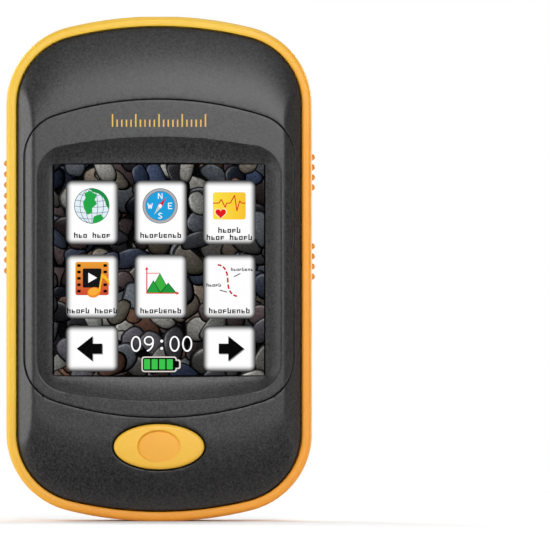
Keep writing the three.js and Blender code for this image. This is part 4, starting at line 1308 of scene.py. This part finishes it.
def scale_mark():
    """A printed row of graduation ticks above the screen, where a name would be."""
    vertices, faces = [], []
    for i in range(-10, 11):
        height = 2.5 if i % 5 == 0 else 1.4
        start = len(vertices)
        for y in np.linspace(MARK_FOOT, MARK_FOOT + height, 4):
            for x in (i * MARK_PITCH - TICK_HALF_WIDTH, i * MARK_PITCH + TICK_HALF_WIDTH):
                vertices.append((x, y, float(face_height(np.array(x), np.array(y))) + PRINT_LIFT))
        faces += [(start + 2 * k, start + 2 * k + 1, start + 2 * k + 3, start + 2 * k + 2) for k in range(3)]
    n = Nodes("amber_print", 0.5)
    n.stain(srgb(214, 170, 58), srgb(170, 126, 44), 0.4, 2500)
    add_print("scale_mark", raw_mesh("scale_mark", vertices, faces), n.material)


# ---------------------------------------------------------------- camera, floor and light

# The camera's place and the width that it sees are shares of the unit's length.
CAMERA_DISTANCE = 2.6
VIEW_WIDTH = 1.0935
VIEW_MIDDLE = (0.2296, 0.488)
SENSOR_WIDTH = 36


def camera():
    """A long lens level with the middle of the unit, which stands left of the picture's middle."""
    length = LENGTH * MM
    data = bpy.data.cameras.new("camera")
    data.sensor_width = SENSOR_WIDTH
    data.lens = SENSOR_WIDTH * CAMERA_DISTANCE / (VIEW_WIDTH * length)
    data.clip_start, data.clip_end = 0.1, 20
    made = placed("camera", data)
    made.location = (VIEW_MIDDLE[0] * length, -CAMERA_DISTANCE, VIEW_MIDDLE[1] * length)
    made.rotation_euler = (math.pi / 2, 0, 0)
    bpy.context.scene.camera = made


def stage_slab(name, x0, x1, y0, y1, z0, z1, corner, material):
    """A low slab on the floor's level, in mm, with y into the depth and z up."""
    ring = rectangle(x0, x1, y0, y1, corner).ring(0, 20.0)
    mesh = raw_mesh(name, *loft([level(ring, z) for z in (z0, z1)]), TO_FLOOR)
    mesh.materials.append(material)
    made = placed(name, mesh)
    return made


def floor():
    """A pale floor, and a black flag in front that only reflections meet, so that dark gloss stays dark."""
    pale = Nodes("pale_floor", 0.9)
    pale.stain((0.93, 0.93, 0.93, 1), (0.91, 0.91, 0.91, 1), 1, 30)
    stage_slab("floor", -320, 320, -320, 320, -4, 0, 300, pale.material)
    black = Nodes("black_flag", 1.0)
    black.shade({"Base Color": (0.0, 0.0, 0.0, 1), "Specular IOR Level": 0.0})
    flag = stage_slab("flag", -70, 70, -350, -14, 0.4, 0.8, 5, black.material)
    for ray in ("camera", "diffuse", "shadow", "transmission"):
        setattr(flag, f"visible_{ray}", False)


def area_light(name, place, aim, size, energy):
    data = bpy.data.lights.new(name, "AREA")
    data.shape = "RECTANGLE"
    data.size, data.size_y = size
    data.energy = energy
    made = placed(name, data)
    made.location = place
    made.visible_camera = False
    made.rotation_euler = (Vector(aim) - Vector(place)).to_track_quat("-Z", "Y").to_euler()


def backdrop():
    """White where the camera looks past the floor, and dim as a light."""
    world = bpy.data.worlds.new("studio")
    world.use_nodes = True
    tree = world.node_tree
    dim, seen = tree.nodes["Background"], tree.nodes.new("ShaderNodeBackground")
    for node, strength in ((dim, 0.13), (seen, 1.0)):
        node.inputs["Color"].default_value = (1, 1, 1, 1)
        node.inputs["Strength"].default_value = strength
    path, mix = tree.nodes.new("ShaderNodeLightPath"), tree.nodes.new("ShaderNodeMixShader")
    for socket, output in enumerate((path.outputs["Is Camera Ray"], dim.outputs[0], seen.outputs[0])):
        tree.links.new(output, mix.inputs[socket])
    tree.links.new(mix.outputs[0], tree.nodes["World Output"].inputs["Surface"])
    bpy.context.scene.world = world
    bpy.context.scene.view_settings.view_transform = "Standard"


def lights():
    """A soft key light from the front, boxes at the left and above, and two from behind."""
    middle = (0, 0, MID_Y * MM)
    area_light("key", (0.045, -0.33, 0.155), (0, 0, 0.06), (0.18, 0.16), 0.9)
    area_light("left_box", (-0.5, -0.03, 0.09), middle, (0.3, 0.25), 1.4)
    area_light("top", (0.1, 0.1, 0.6), middle, (0.4, 0.4), 1.6)
    area_light("back_left", (-0.4, 0.5, 0.35), middle, (0.35, 0.35), 3.0)
    area_light("back_right", (0.42, 0.45, 0.16), middle, (0.35, 0.25), 2.4)


for make in (camera, floor, lights, backdrop, front_shell, screen_bezel, bumper_band, main_button, side_keys,
             port_cover, rear_case, battery_door, latch_knob, latch_ring, case_screws, lanyard_pin,
             cover_glass, display, battery_pack, scale_mark):
    make()
